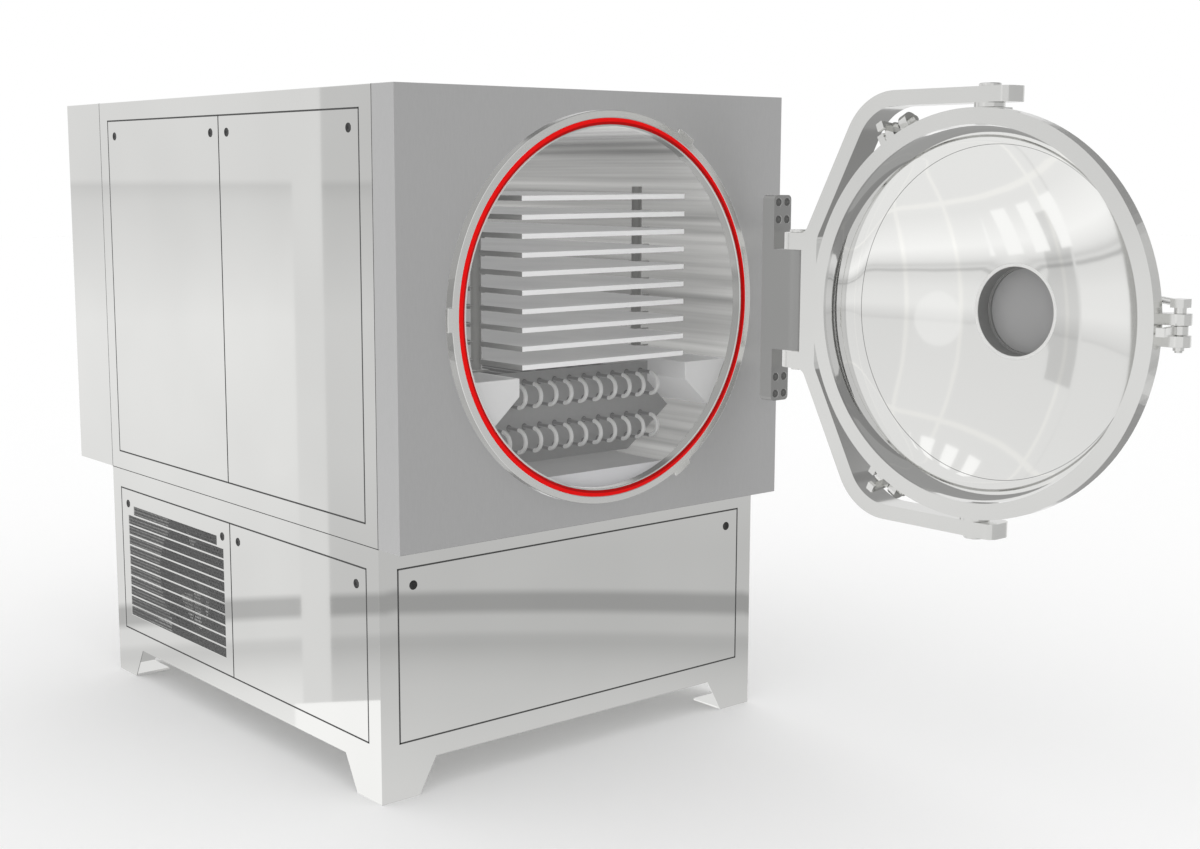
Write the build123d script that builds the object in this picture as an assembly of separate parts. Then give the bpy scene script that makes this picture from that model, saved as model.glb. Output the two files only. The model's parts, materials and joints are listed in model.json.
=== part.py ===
from build123d import *
import math
import os

os.makedirs("parts", exist_ok=True)

# Freeze dryer with a swing-open chamber door, in millimetres, +Z up.
# The working frame has x = 0 on the left side, y = 0 on the front of the base and z = 0 on the floor.
# Everything is moved at the end so that the origin is under the middle of the whole object.

# ---- driving dimensions: cabinet -------------------------------------------------------------
WIDTH = 1466.0
BASE_DEPTH = 1704.0
BASE_HEIGHT = 738.0
TOTAL_HEIGHT = 2000.0
FASCIA_DEPTH = 106.0          # front box, how far it stands in front of the base
REAR_DEPTH = 269.0            # rear box, how far it stands behind the base
SHEET = 3.0                   # folded stainless sheet
PANEL_MARGIN = 62.0           # frame width around the lift-off panels
BASE_TOP_MARGIN = 65.0
UPPER_TOP_MARGIN = 60.0
SKIRT = 61.0                  # frame below the base panels
PANEL_GAP = 3.0
LIP = 15.0                    # rebate that a panel seats on
FOOT_HEIGHT = 105.0
FOOT_FLOOR = 128.0            # width of a foot on the floor
FOOT_TOP = 188.0              # width of a foot at the skirt
SOLE = 6.0
PAN_DROP = 12.0               # floor pan, below the edge of the base windows

# ---- driving dimensions: panel locks and grille ----------------------------------------------
LOCK_INSET = 50.0
LOCK_D = 27.0
LOCK_PROUD = 1.0
LOCK_BARREL_W = 16.0
LOCK_BARREL = 14.0
TONGUE = (16.0, 3.0)          # width and thickness of the cam tongue
TONGUE_BITE = 9.0             # how far the tongue reaches behind the rebate
LOCK_CLEARANCE = 0.25
SLOT_COUNT = 11
SLOT_PITCH = 36.3
SLOT_HEIGHT = 32.0
SLOT_SIDE = 46.0              # panel edge to the ends of the slots
SLOT_BOTTOM = 52.0            # panel edge to the lowest slot
TOP_SLOT_INSET = 43.0         # the top slot is shorter by this at each end, clear of the locks
MESH_SHEET = 1.5
MESH_LAP = 12.0
MESH_PITCH = 22.0
MESH_BAR = 6.0

# ---- driving dimensions: chamber -------------------------------------------------------------
AXIS_HEIGHT = 1371.0
BORE_R = 527.0
SHELL_WALL = 8.0
SHELL_BEHIND = 354.0          # free depth of the base behind the vessel
CROWN_R = 1000.0
KNUCKLE_R = 100.0
END_PLATE = 16.0
END_RIB = (14.0, 70.0)        # thickness and depth of the ribs behind the end plate
FLANGE_WIDTH = 46.0           # radial
FLANGE_PROUD = 31.0
LUG_REACH = 15.0              # beyond the flange
LUG_PLATE = 12.0
LUG_HALF_ANGLE = 3.3
LUG_CORNER = 5.0
CLAMPS = ((180.0, -1), (60.0, -1), (-60.0, 1))   # angle round the rim, and the side of the handle
SEAL_INSET = 5.0              # bore to the seal's groove
SEAL_WIDTH = 19.0
SEAL_DEPTH = 6.0
SEAL_PROUD = 2.7
SEAL_TOP = 7.0                # flat width of the lip that meets the door

# ---- driving dimensions: shelves, coil, troughs and tray -------------------------------------
SHELF_COUNT = 10
SHELF_PITCH = 52.8
SHELF_TOP = 1703.0            # top face of the highest shelf
SHELF_WIDTH = 624.0
SHELF_BEHIND = 169.0          # vessel behind the shelves
SHELF_THICK = 15.0
SHELF_FRONT = -109.0
POST_D = 32.0
POST_SET = 216.0              # shelf front to the front posts, and shelf back to the rear posts
POST_ABOVE = 20.0
POST_CLEARANCE = 0.4
POST_FOOT = (60.0, 50.0, 6.0)
CLIP = (33.0, 12.0, 4.0)      # clip on the outside of a post: reach, width, thickness
TROUGH_TOP = -180.0           # below the chamber axis
TROUGH_INNER = 322.0
TROUGH_LIP = -232.0
TROUGH_FOOT = -318.0          # the lowest edge, against the chamber's wall
SEAT = 0.3                    # clearance of what stands against the bore
TROUGH_WALL = 6.0
SHEET_PLATE_Y = 60.0          # front face of the coil's tube sheet
SHEET_PLATE = 12.0
SHEET_SHOULDER = -335.0       # where the tube sheet reaches the bore
SHEET_BOTTOM = (239.0, -461.0)
COIL_COLUMNS = 11
COIL_PITCH = 58.0
COIL_ROWS = (-252.0, -384.0)  # middle of each row of bends, from the chamber axis
COIL_BEND_R = 33.0
TUBE_D = 12.0
TUBE_SIDES = 6
BEND_STEPS = 6
COIL_REACH = 48.0             # straight tube in front of the tube sheet
COIL_BEHIND = 210.0           # vessel behind the coil
TRAY_TOP = -475.0
TRAY_SHEET = 4.0

# ---- driving dimensions: door, yoke and hinge ------------------------------------------------
SEAL_GAP = 3.0                # flange to door ring, with the seal just touched
RING_THICK = 40.0
HEAD_WALL = 8.0
HEAD_RIM = 10.0               # where the dished head seats inside the ring, behind the sealing face
HEAD_STRAIGHT = 15.0
OPEN_ANGLE = 90.0
HINGE_FROM_RING = 130.0       # hinge axis to the rim of the door
HINGE_OUT = 221.0             # hinge axis in front of the base
KNUCKLE = 47.0                # radius of the hinge barrel, half the depth of the yoke
BARREL_HALF = 157.0
KNUCKLE_GAP = 1.5
YOKE_KNUCKLE = 52.0
YOKE_ARM = 44.0
YOKE_ARM_GAP = 14.0           # door ring to the inner face of an arm
YOKE_FLANK = 50.0
YOKE_LEAN = 27.5              # degrees that a flank leans from the vertical
YOKE_SPINE_IN = 112.0
YOKE_SLOT_WALL = 50.0
YOKE_BEND_R = 190.0
YOKE_NECK_R = 34.0
YOKE_END = 85.0               # arm beyond the pivot
YOKE_END_R = 29.0
HINGE_PIN_D = 40.0
PIN_HEAD = (62.0, 9.0)
PIVOT_D = 36.0
PIVOT_BEHIND = 30.0           # pivot axis behind the back of the ring
PIVOT_WASHER = (85.0, 13.5)
PIVOT_BOSS = (96.0, 60.0)     # width and depth of the boss that takes a pivot pin
PIVOT_DEPTH = 34.0
BOSS_R = 12.0
RUNNING = 0.05                # radial clearance of a turning pin
BRACKET_WIDTH = 77.0
BRACKET_HEIGHT = 650.0
BRACKET_OUT = 49.0
BRACKET_R = 14.0
BRACKET_SCREW_Z = (249.0, 303.0)
BRACKET_SCREW_X = (22.0, 60.0)
COUNTERBORE = (30.0, 18.0)
SCREW_HEAD = (27.0, 16.0)
SCREW_D = 18.0
BACKING = 24.0

# ---- driving dimensions: sight port and clamps -----------------------------------------------
PORT_R = 139.0
PORT_WALL = 10.0
PORT_LENGTH = 62.0            # from the inside of the crown to the glass seat
GLASS_R = 146.0
GLASS_THICK = 15.0
PORT_FLANGE_R = 168.0
PORT_SIGHT_R = 123.0
GLASS_RING = 12.0
GLASS_RING_IN = 126.0
PORT_SCREWS = 8
PORT_SCREW_D = 10.0
PIN_FROM_RING = 30.0          # clamp pin outside the rim of the door
EAR_R = 30.0
EAR_THICK = 29.0
EAR_GAP = 27.0
EAR_ROOT = 32.0               # rim of the door to the inner foot of an ear
HOOK_THICK = 24.0
HOOK_BOSS_R = 22.0
HOOK_OVER_LUG = 3.0
HOOK_ARM = 13.0
CLAW_BITE = 9.0               # how far the claw reaches in behind a lug
CLAW = 13.5
CLAW_GAP = 0.5
HOOK_REST = 10.0              # degrees that a hook hangs out from its latched place
CLAMP_PIN_D = 20.0
CLAMP_PIN_END = 15.0
LEVER_COLLAR = (31.0, 15.0)
LEVER_BLOCK = (37.0, 22.0)
LEVER_BAR_D = 19.0
LEVER_LENGTH = 110.0
LEVER_ANGLE = 35.0
LEVER_GRIP = 8.0              # how far the clamp pin reaches into the handle block

# ---- driving dimensions: machinery in the base -----------------------------------------------
FAN_R = 170.0
FAN_CLEARANCE = 8.0
FAN_BLADES = 5
FAN_DEPTH = 46.0
FAN_HUB_R = 42.0
FAN_FROM_SIDE = 34.0
SHROUD_DEPTH = 60.0
SHROUD_WALL = 4.0
MOTOR = (58.0, 96.0)
CONDENSER_FINS = 6

# ---- worked out ------------------------------------------------------------------------------
SHELL_LENGTH = FASCIA_DEPTH + BASE_DEPTH - SHELL_BEHIND
SHELF_DEPTH = BASE_DEPTH - SHELL_BEHIND - SHELF_BEHIND - SHELF_FRONT
COIL_LENGTH = BASE_DEPTH - SHELL_BEHIND - COIL_BEHIND - SHEET_PLATE_Y
FLANGE_R = BORE_R + FLANGE_WIDTH
LUG_R = FLANGE_R + LUG_REACH
SEAL_R = (BORE_R + SEAL_INSET, BORE_R + SEAL_INSET + SEAL_WIDTH)
HINGE_REACH = FLANGE_R + HINGE_FROM_RING
YOKE_ARM_IN = FLANGE_R + YOKE_ARM_GAP
PIVOT_OFFSET = RING_THICK + PIVOT_BEHIND
PIN_RADIUS = FLANGE_R + PIN_FROM_RING
PIN_DEPTH = RING_THICK + EAR_R
HOOK_IN = LUG_R + HOOK_OVER_LUG
HOOK_OUT = HOOK_IN + HOOK_ARM
CLAW_IN = LUG_R - CLAW_BITE
CX = WIDTH / 2
CZ = AXIS_HEIGHT
FACE = FASCIA_DEPTH + FLANGE_PROUD          # flange face, in front of the base
DOOR_FACE = FACE + SEAL_GAP                 # sealing face of the closed door
HINGE_X = CX + HINGE_REACH
BRACKET_X = HINGE_X - KNUCKLE   # left face of the hinge bracket
HINGE_Y = -HINGE_OUT
BASE_WINDOW = (FOOT_HEIGHT + SKIRT, BASE_HEIGHT - BASE_TOP_MARGIN)
UPPER_WINDOW = (BASE_HEIGHT + PANEL_MARGIN, TOTAL_HEIGHT - UPPER_TOP_MARGIN)
FLOOR_PAN = BASE_WINDOW[0] - PAN_DROP


def on_bore(height):
    """Half width of the bore, less the seat clearance, at a height from the chamber's axis."""
    return math.sqrt((BORE_R - SEAT) ** 2 - height**2)


TROUGH_OUTER = on_bore(TROUGH_TOP)
TROUGH_TIP = (on_bore(TROUGH_FOOT), TROUGH_FOOT)

parts = {}


# ---- helpers ---------------------------------------------------------------------------------
def block(x0, x1, y0, y1, z0, z1):
    """A plain box between two corners."""
    return Pos((x0 + x1) / 2, (y0 + y1) / 2, (z0 + z1) / 2) * Box(x1 - x0, y1 - y0, z1 - z0)


def polygon(points):
    return make_face(Polyline(*points, close=True))


def turned(points):
    """A solid of revolution about Z from a closed outline of (radius, height) points."""
    return revolve(Plane.XZ * polygon(points), Axis.Z)


def tube(outer, inner, low, high):
    return turned([(inner, low), (outer, low), (outer, high), (inner, high)])


def rod(radius, low, high):
    """A cylinder on Z between two heights."""
    return Pos(0, 0, (low + high) / 2) * Cylinder(radius, high - low)


def prism(radius, low, high, sides=12):
    """A small fastener's round, drawn as a many-sided prism on Z with the radius across its corners."""
    return Pos(0, 0, low) * extrude(Rot(0, 0, 180 / sides) * RegularPolygon(radius, sides), high - low)


def on_axis(shape):
    """From the turning frame to the chamber's axis: local Z becomes the distance out of the mouth."""
    return Pos(CX, 0, CZ) * Rot(90, 0, 0) * shape


def opened(shape):
    """Swing a closed door piece about the hinge to where it rests."""
    return Pos(HINGE_X, HINGE_Y, 0) * Rot(0, 0, OPEN_ANGLE) * Pos(-HINGE_X, -HINGE_Y, 0) * shape


def dome(offset, straight):
    """A solid torispherical dome on a flat base at height 0; the offset is added outside the bore's line."""
    centre = BORE_R - KNUCKLE_R
    low = straight - math.sqrt((CROWN_R - KNUCKLE_R) ** 2 - centre**2)
    lean = math.asin(centre / (CROWN_R - KNUCKLE_R))
    crown = CROWN_R + offset
    knuckle = KNUCKLE_R + offset
    half = (lean + math.pi / 2) / 2
    rim = BORE_R + offset
    tangent = (crown * math.sin(lean), low + crown * math.cos(lean))
    bend = (centre + knuckle * math.cos(math.pi / 2 - half), straight + knuckle * math.sin(math.pi / 2 - half))
    middle = (crown * math.sin(lean / 2), low + crown * math.cos(lean / 2))
    outline = [
        Line((0, 0), (rim, 0)),
        Line((rim, 0), (rim, straight)),
        ThreePointArc((rim, straight), bend, tangent),
        ThreePointArc(tangent, middle, (0, low + crown)),
        Line((0, low + crown), (0, 0)),
    ]
    return revolve(Plane.XZ * make_face(Curve() + outline), Axis.Z)


def crown_height(straight, radius):
    """Height of the inside of the crown over the rim, at a distance from the axis."""
    low = straight - math.sqrt((CROWN_R - KNUCKLE_R) ** 2 - (BORE_R - KNUCKLE_R) ** 2)
    return low + math.sqrt(CROWN_R**2 - radius**2)


# ---- cabinet ---------------------------------------------------------------------------------
# A window is (side, low end, high end, bottom, top); a side is "left", "right", "front" or "rear".
MIDDLE = BASE_DEPTH / 2
FRONT_HALF = (PANEL_MARGIN, MIDDLE)
REAR_HALF = (MIDDLE, BASE_DEPTH - PANEL_MARGIN)


def slab(side, a0, a1, z0, z1, depth0, depth1):
    """A box in a cabinet side: a0 to a1 along the side, and between two depths from its face."""
    if side == "left":
        return block(depth0, depth1, a0, a1, z0, z1)
    if side == "right":
        return block(WIDTH - depth1, WIDTH - depth0, a0, a1, z0, z1)
    if side == "front":
        return block(a0, a1, depth0, depth1, z0, z1)
    return block(a0, a1, BASE_DEPTH - depth1, BASE_DEPTH - depth0, z0, z1)


def window_cut(side, a0, a1, z0, z1):
    return slab(side, a0, a1, z0, z1, -1, SHEET + 1)


def window_lip(side, a0, a1, z0, z1):
    """The rebate behind a window, a flat frame that the panels seat on."""
    frame = slab(side, a0 - LIP, a1 + LIP, z0 - LIP, z1 + LIP, SHEET, 2 * SHEET)
    return frame - slab(side, a0 + LIP, a1 - LIP, z0 + LIP, z1 - LIP, SHEET - 1, 2 * SHEET + 1)


def mullion(side, z0, z1):
    """The upright behind the joint of two panels."""
    return slab(side, MIDDLE - LIP, MIDDLE + LIP, z0, z1, SHEET, 2 * SHEET)


def shell_box(depth0, depth1, z0, z1):
    outer = block(0, WIDTH, depth0, depth1, z0, z1)
    return outer - block(SHEET, WIDTH - SHEET, depth0 + SHEET, depth1 - SHEET, z0 + SHEET, z1 - SHEET)


def foot_gaps():
    """The openings between the feet, cut through under the skirt on all four sides."""
    def cut(length):
        return polygon([
            (FOOT_FLOOR, -1), (length - FOOT_FLOOR, -1), (length - FOOT_TOP, FOOT_HEIGHT), (FOOT_TOP, FOOT_HEIGHT)
        ])

    across = Plane.XZ * cut(WIDTH)
    along = Plane.YZ * cut(BASE_DEPTH)
    return extrude(across, -BASE_DEPTH - 1) + extrude(across, 1), extrude(along, WIDTH + 1) + extrude(along, -1)


def base_frame():
    frame = shell_box(0, BASE_DEPTH, 0, BASE_HEIGHT)
    frame -= block(SHEET, WIDTH - SHEET, SHEET, BASE_DEPTH - SHEET, -1, SHEET + 1)
    for gap in foot_gaps():
        frame -= gap
    z0, z1 = BASE_WINDOW
    sides = [
        ("front", PANEL_MARGIN, WIDTH - PANEL_MARGIN),
        ("rear", PANEL_MARGIN, WIDTH - PANEL_MARGIN),
        ("left", PANEL_MARGIN, BASE_DEPTH - PANEL_MARGIN),
        ("right", PANEL_MARGIN, BASE_DEPTH - PANEL_MARGIN),
    ]
    for side, a0, a1 in sides:
        frame -= window_cut(side, a0, a1, z0, z1)
    for side, a0, a1 in sides:
        frame += window_lip(side, a0, a1, z0, z1)
    frame += mullion("left", z0, z1) + mullion("right", z0, z1)
    frame += block(SHEET, WIDTH - SHEET, SHEET, BASE_DEPTH - SHEET, FLOOR_PAN - SHEET, FLOOR_PAN)
    for x0, x1 in ((SHEET, FOOT_FLOOR), (WIDTH - FOOT_FLOOR, WIDTH - SHEET)):
        for y0, y1 in ((SHEET, FOOT_FLOOR), (BASE_DEPTH - FOOT_FLOOR, BASE_DEPTH - SHEET)):
            frame += block(x0, x1, y0, y1, 0, SOLE)
    return frame


SADDLES = (420.0, 1040.0)
SADDLE_THICK = 16.0


def upper_frame():
    z0, z1 = UPPER_WINDOW
    frame = shell_box(0, BASE_DEPTH, BASE_HEIGHT, TOTAL_HEIGHT)
    frame -= on_axis(rod(BORE_R + SHELL_WALL + 2, -SHEET - 1, 1))
    for side in ("left", "right"):
        frame -= window_cut(side, PANEL_MARGIN, BASE_DEPTH - PANEL_MARGIN, z0, z1)
    for side in ("left", "right"):
        frame += window_lip(side, PANEL_MARGIN, BASE_DEPTH - PANEL_MARGIN, z0, z1)
        frame += mullion(side, z0, z1)
    for y in SADDLES:
        plate = block(160, WIDTH - 160, y, y + SADDLE_THICK, BASE_HEIGHT + SHEET, CZ - 330)
        frame += plate - on_axis(rod(BORE_R + SHELL_WALL, -y - SADDLE_THICK - 1, -y + 1))
    return frame


def panel_ends(a0, a1):
    """A panel's ends inside its half of a window, with its gap."""
    return a0 + (PANEL_GAP if a0 != MIDDLE else PANEL_GAP / 2), a1 - (PANEL_GAP if a1 != MIDDLE else PANEL_GAP / 2)


def lock_places(a0, a1, z1):
    return [(a0 + LOCK_INSET, z1 - LOCK_INSET), (a1 - LOCK_INSET, z1 - LOCK_INSET)]


def outward(side, a, z):
    """A frame on a cabinet side, with its Z pointing out and its Y up."""
    if side == "left":
        return Location(Plane((0, a, z), x_dir=(0, -1, 0), z_dir=(-1, 0, 0)))
    if side == "right":
        return Location(Plane((WIDTH, a, z), x_dir=(0, 1, 0), z_dir=(1, 0, 0)))
    if side == "front":
        return Location(Plane((a, 0, z), x_dir=(1, 0, 0), z_dir=(0, -1, 0)))
    return Location(Plane((a, BASE_DEPTH, z), x_dir=(-1, 0, 0), z_dir=(0, 1, 0)))


LOCKS = []


def panel(side, a0, a1, window):
    """A flat lift-off panel, flush in its window, with two quarter-turn locks at its top corners."""
    e0, e1 = panel_ends(a0, a1)
    z0, z1 = window[0] + PANEL_GAP, window[1] - PANEL_GAP
    plate = slab(side, e0, e1, z0, z1, 0, SHEET)
    for a, z in lock_places(e0, e1, z1):
        plate -= outward(side, a, z) * prism(LOCK_D / 2 + LOCK_CLEARANCE, -SHEET - 1, 1, 8)
        LOCKS.append((side, a, z))
    return plate


def lock():
    """A quarter-turn lock: round insert, barrel and the cam tongue that reaches up behind the rebate."""
    half = LOCK_BARREL_W / 2
    body = prism(LOCK_D / 2, -SHEET, LOCK_PROUD, 8)
    body += block(-half, half, -half, half, -SHEET - LOCK_BARREL, -SHEET)
    reach = LOCK_INSET + PANEL_GAP - LIP + TONGUE_BITE
    back = -2 * SHEET - LOCK_CLEARANCE
    return body + block(-TONGUE[0] / 2, TONGUE[0] / 2, 0, reach, back - TONGUE[1], back)


def grille_panel():
    e0, e1 = panel_ends(*REAR_HALF)
    z0 = BASE_WINDOW[0] + PANEL_GAP
    plate = panel("left", *REAR_HALF, BASE_WINDOW)
    for i in range(SLOT_COUNT):
        inset = SLOT_SIDE + (TOP_SLOT_INSET if i == SLOT_COUNT - 1 else 0)
        low = z0 + SLOT_BOTTOM + i * SLOT_PITCH
        plate -= slab("left", e0 + inset, e1 - inset, low, low + SLOT_HEIGHT, -1, SHEET + 1)
    return plate


def grille_mesh():
    """The guard behind the grille: a sheet with tall slots, lapped onto the back of the panel."""
    e0, e1 = panel_ends(*REAR_HALF)
    low = BASE_WINDOW[0] + PANEL_GAP + SLOT_BOTTOM - MESH_LAP
    high = low + MESH_LAP + (SLOT_COUNT - 2) * SLOT_PITCH + SLOT_HEIGHT
    a0, a1 = e0 + SLOT_SIDE - MESH_LAP, e1 - SLOT_SIDE + MESH_LAP
    t0 = a0 + TOP_SLOT_INSET + MESH_LAP
    t1 = a1 - TOP_SLOT_INSET - MESH_LAP
    top = high + SLOT_PITCH
    sheet = slab("left", a0, a1, low, high, SHEET, SHEET + MESH_SHEET)
    sheet += slab("left", t0, t1, high - 1, top, SHEET, SHEET + MESH_SHEET)
    count = int((t1 - t0 - MESH_LAP) // MESH_PITCH)
    first = (t0 + t1) / 2 - (count - 1) / 2 * MESH_PITCH
    for i in range(count):
        a = first + i * MESH_PITCH
        half = (MESH_PITCH - MESH_BAR) / 2
        sheet -= slab("left", a - half, a + half, low + MESH_LAP, top - MESH_LAP, SHEET - 1, SHEET + MESH_SHEET + 1)
    return sheet


def front_fascia():
    """The front box: a deep folded tray with the hole for the chamber and a welded bar behind the hinge."""
    outer = block(0, WIDTH, -FASCIA_DEPTH, 0, BASE_HEIGHT, TOTAL_HEIGHT)
    inner = block(SHEET, WIDTH - SHEET, -FASCIA_DEPTH + SHEET, 1, BASE_HEIGHT + SHEET, TOTAL_HEIGHT - SHEET)
    tray = outer - inner
    back = -FASCIA_DEPTH + SHEET
    half = BRACKET_HEIGHT / 2
    right = min(BRACKET_X + BRACKET_WIDTH, WIDTH - SHEET)
    tray += block(BRACKET_X, right, back, back + BACKING, CZ - half, CZ + half)
    return tray - on_axis(rod(BORE_R + SHELL_WALL + 2, 0, FASCIA_DEPTH + 1))


def rear_housing():
    """The rear box: a folded tray closed at the back and open towards the frame."""
    y1 = BASE_DEPTH + REAR_DEPTH
    tray = block(0, WIDTH, BASE_DEPTH, y1, BASE_HEIGHT, TOTAL_HEIGHT)
    return tray - block(SHEET, WIDTH - SHEET, BASE_DEPTH - 1, y1 - SHEET, BASE_HEIGHT + SHEET, TOTAL_HEIGHT - SHEET)


# ---- chamber ---------------------------------------------------------------------------------
def sector(radius, half_angle, low, high):
    """A wedge of a disc about +X, cut straight at its sides."""
    y = radius * math.sin(math.radians(half_angle))
    wedge = block(BORE_R, radius + 5, -y, y, low, high) & rod(radius, low, high)
    corners = wedge.edges().filter_by(Axis.Z).sort_by(Axis.X)[-2:]
    return fillet(corners, LUG_CORNER)


def chamber_flange():
    flange = tube(FLANGE_R, BORE_R, FASCIA_DEPTH, FACE)
    for angle, side in CLAMPS:
        flange += Rot(0, 0, angle) * sector(LUG_R, LUG_HALF_ANGLE, FACE - LUG_PLATE, FACE)
    flange -= tube(SEAL_R[1], SEAL_R[0], FACE - SEAL_DEPTH, FACE + 1)
    flange -= rod(BORE_R, FASCIA_DEPTH - 1, FACE + 1)
    return on_axis(flange)


def door_seal():
    """The lip seal: it fills its groove and stands out as a narrower flat-topped lip."""
    low, high = FACE - SEAL_DEPTH, FACE + SEAL_PROUD
    inner, outer = SEAL_R
    middle = (inner + outer) / 2
    return on_axis(turned([
        (inner, low), (outer, low), (outer, FACE),
        (middle + SEAL_TOP / 2, high), (middle - SEAL_TOP / 2, high), (inner, FACE),
    ]))


def chamber_shell():
    """The vacuum vessel: a rolled shell with a flat ribbed plate welded into its rear end."""
    outer_r = BORE_R + SHELL_WALL
    rear = FASCIA_DEPTH - SHELL_LENGTH
    shell = tube(outer_r, BORE_R, rear, FASCIA_DEPTH)
    shell += rod(BORE_R + 1, rear, rear + END_PLATE)
    reach = BORE_R - 60
    shell += block(-reach, reach, -END_RIB[0] / 2, END_RIB[0] / 2, rear - END_RIB[1], rear + 1)
    shell += block(-END_RIB[0] / 2, END_RIB[0] / 2, -reach, reach, rear - END_RIB[1], rear + 1)
    return on_axis(shell)


# ---- shelves, coil, troughs and tray ---------------------------------------------------------
POST_Y = (SHELF_FRONT + POST_SET, SHELF_FRONT + SHELF_DEPTH - POST_SET)
POST_X = (CX - SHELF_WIDTH / 2, CX + SHELF_WIDTH / 2)


def shelf(index):
    """A hollow-cored plate seen as one slab, notched at its edges for the four posts."""
    top = SHELF_TOP - index * SHELF_PITCH
    plate = block(POST_X[0], POST_X[1], SHELF_FRONT, SHELF_FRONT + SHELF_DEPTH, top - SHELF_THICK, top)
    for x in POST_X:
        for y in POST_Y:
            half = POST_D / 2 + POST_CLEARANCE
            plate -= block(x - half, x + half, y - half, y + half, top - SHELF_THICK - 1, top + 1)
    return plate


def shelf_posts():
    """The four posts of the rack, each with its foot and, at every shelf, a support and an outer clip."""
    foot = CZ + TROUGH_TOP
    posts = []
    for side, x in ((-1, POST_X[0]), (1, POST_X[1])):
        for y in POST_Y:
            post = Pos(x, y, 0) * prism(POST_D / 2, foot, SHELF_TOP + POST_ABOVE, 8)
            centre = x + side * 4
            post += block(
                centre - POST_FOOT[0] / 2, centre + POST_FOOT[0] / 2, y - POST_FOOT[1] / 2,
                y + POST_FOOT[1] / 2, foot, foot + POST_FOOT[2],
            )
            for i in range(SHELF_COUNT):
                top = SHELF_TOP - i * SHELF_PITCH
                reach = sorted((x + side * POST_D * 0.4, x + side * (POST_D / 2 + CLIP[0])))
                post += block(reach[0], reach[1], y - CLIP[1] / 2, y + CLIP[1] / 2, top - CLIP[2], top)
                under = sorted((x, x - side * (POST_D / 2 + CLIP[1])))
                low = top - SHELF_THICK
                post += block(under[0], under[1], y - CLIP[1] / 2, y + CLIP[1] / 2, low - CLIP[2], low)
            posts.append(post)
    return posts


def trough(side):
    """An open channel of folded sheet with its front and back closed, along the chamber's wall."""
    w = TROUGH_WALL
    outline = [
        (TROUGH_INNER, TROUGH_TOP), (TROUGH_OUTER, TROUGH_TOP), (TROUGH_TIP[0], TROUGH_TIP[1]), (TROUGH_INNER, TROUGH_LIP)
    ]
    inside = [
        (TROUGH_INNER + w, TROUGH_TOP + 1),
        (TROUGH_OUTER - 1.15 * w, TROUGH_TOP + 1),
        (TROUGH_TIP[0] - 0.15 * w, TROUGH_TIP[1] + 1.6 * w),
        (TROUGH_INNER + w, TROUGH_LIP + 0.4 * w),
    ]

    def along(points, y0, y1):
        face = Plane.XZ * polygon([(CX + side * x, CZ + z) for x, z in points])
        return Pos(0, y0, 0) * extrude(face, y1 - y0, dir=(0, 1, 0))

    back = SHELF_FRONT + SHELF_DEPTH
    body = along(outline, SHELF_FRONT, back)
    return body - along(inside, SHELF_FRONT + w, back - w)


def coil_places():
    for row in COIL_ROWS:
        for i in range(COIL_COLUMNS):
            yield CX + (i - (COIL_COLUMNS - 1) / 2) * COIL_PITCH, CZ + row


def coil_plate(y0, thick):
    """A tube sheet between the troughs, cut to the round of the chamber below them."""
    gap = 18.0
    half = [
        (TROUGH_INNER - 2, TROUGH_TOP - 10), (TROUGH_INNER - 2, TROUGH_LIP - gap - 2),
        (on_bore(SHEET_SHOULDER), SHEET_SHOULDER), SHEET_BOTTOM,
    ]
    points = [(CX + x, CZ + z) for x, z in half] + [(CX - x, CZ + z) for x, z in reversed(half)]
    plate = Pos(0, y0, 0) * extrude(Plane.XZ * polygon(points), -thick)
    for x, z in coil_places():
        for dz in (-COIL_BEND_R, COIL_BEND_R):
            plate -= Pos(x, y0, z + dz) * Rot(90, 0, 0) * prism(TUBE_D / 2 + 0.2, -thick - 1, 1, TUBE_SIDES)
    return plate


def hairpin(x, z):
    """One tube: out through the sheet, round a bend of short straights in front, and back."""
    front = SHEET_PLATE_Y - COIL_REACH
    rear = SHEET_PLATE_Y + COIL_LENGTH
    r = COIL_BEND_R
    steps = [math.radians(90 - 180 * i / BEND_STEPS) for i in range(BEND_STEPS + 1)]
    bend = [(x, front - r * math.cos(a), z + r * math.sin(a)) for a in steps]
    path = Polyline((x, rear, z + r), *bend, (x, rear, z - r))
    section = Plane((x, rear, z + r), x_dir=(1, 0, 0), z_dir=(0, -1, 0))
    section *= Rot(0, 0, 180 / TUBE_SIDES) * RegularPolygon(TUBE_D / 2, TUBE_SIDES)
    return sweep(section, path, transition=Transition.RIGHT)


def drain_tray():
    """A shallow false floor over the bottom of the bore, with its front edge folded down to the wall."""
    reach = math.sqrt(BORE_R**2 - TRAY_TOP**2) - 0.6
    back = SHELF_FRONT + SHELF_DEPTH
    top = block(CX - reach, CX + reach, SHELF_FRONT, back, CZ + TRAY_TOP - TRAY_SHEET, CZ + TRAY_TOP)
    round_bore = on_axis(rod(BORE_R - 0.4, -back - 1, -SHELF_FRONT + 1))
    lower = block(CX - reach, CX + reach, SHELF_FRONT, SHELF_FRONT + TRAY_SHEET, CZ - BORE_R - 1, CZ + TRAY_TOP)
    rear = block(CX - reach, CX + reach, back - TRAY_SHEET, back, CZ - BORE_R - 1, CZ + TRAY_TOP)
    return (top + lower + rear) & round_bore


# ---- hinge and yoke --------------------------------------------------------------------------
def bracket_screw_places():
    return [
        (BRACKET_X + x, CZ + side * z) for x in BRACKET_SCREW_X for z in BRACKET_SCREW_Z for side in (-1, 1)
    ]


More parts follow.
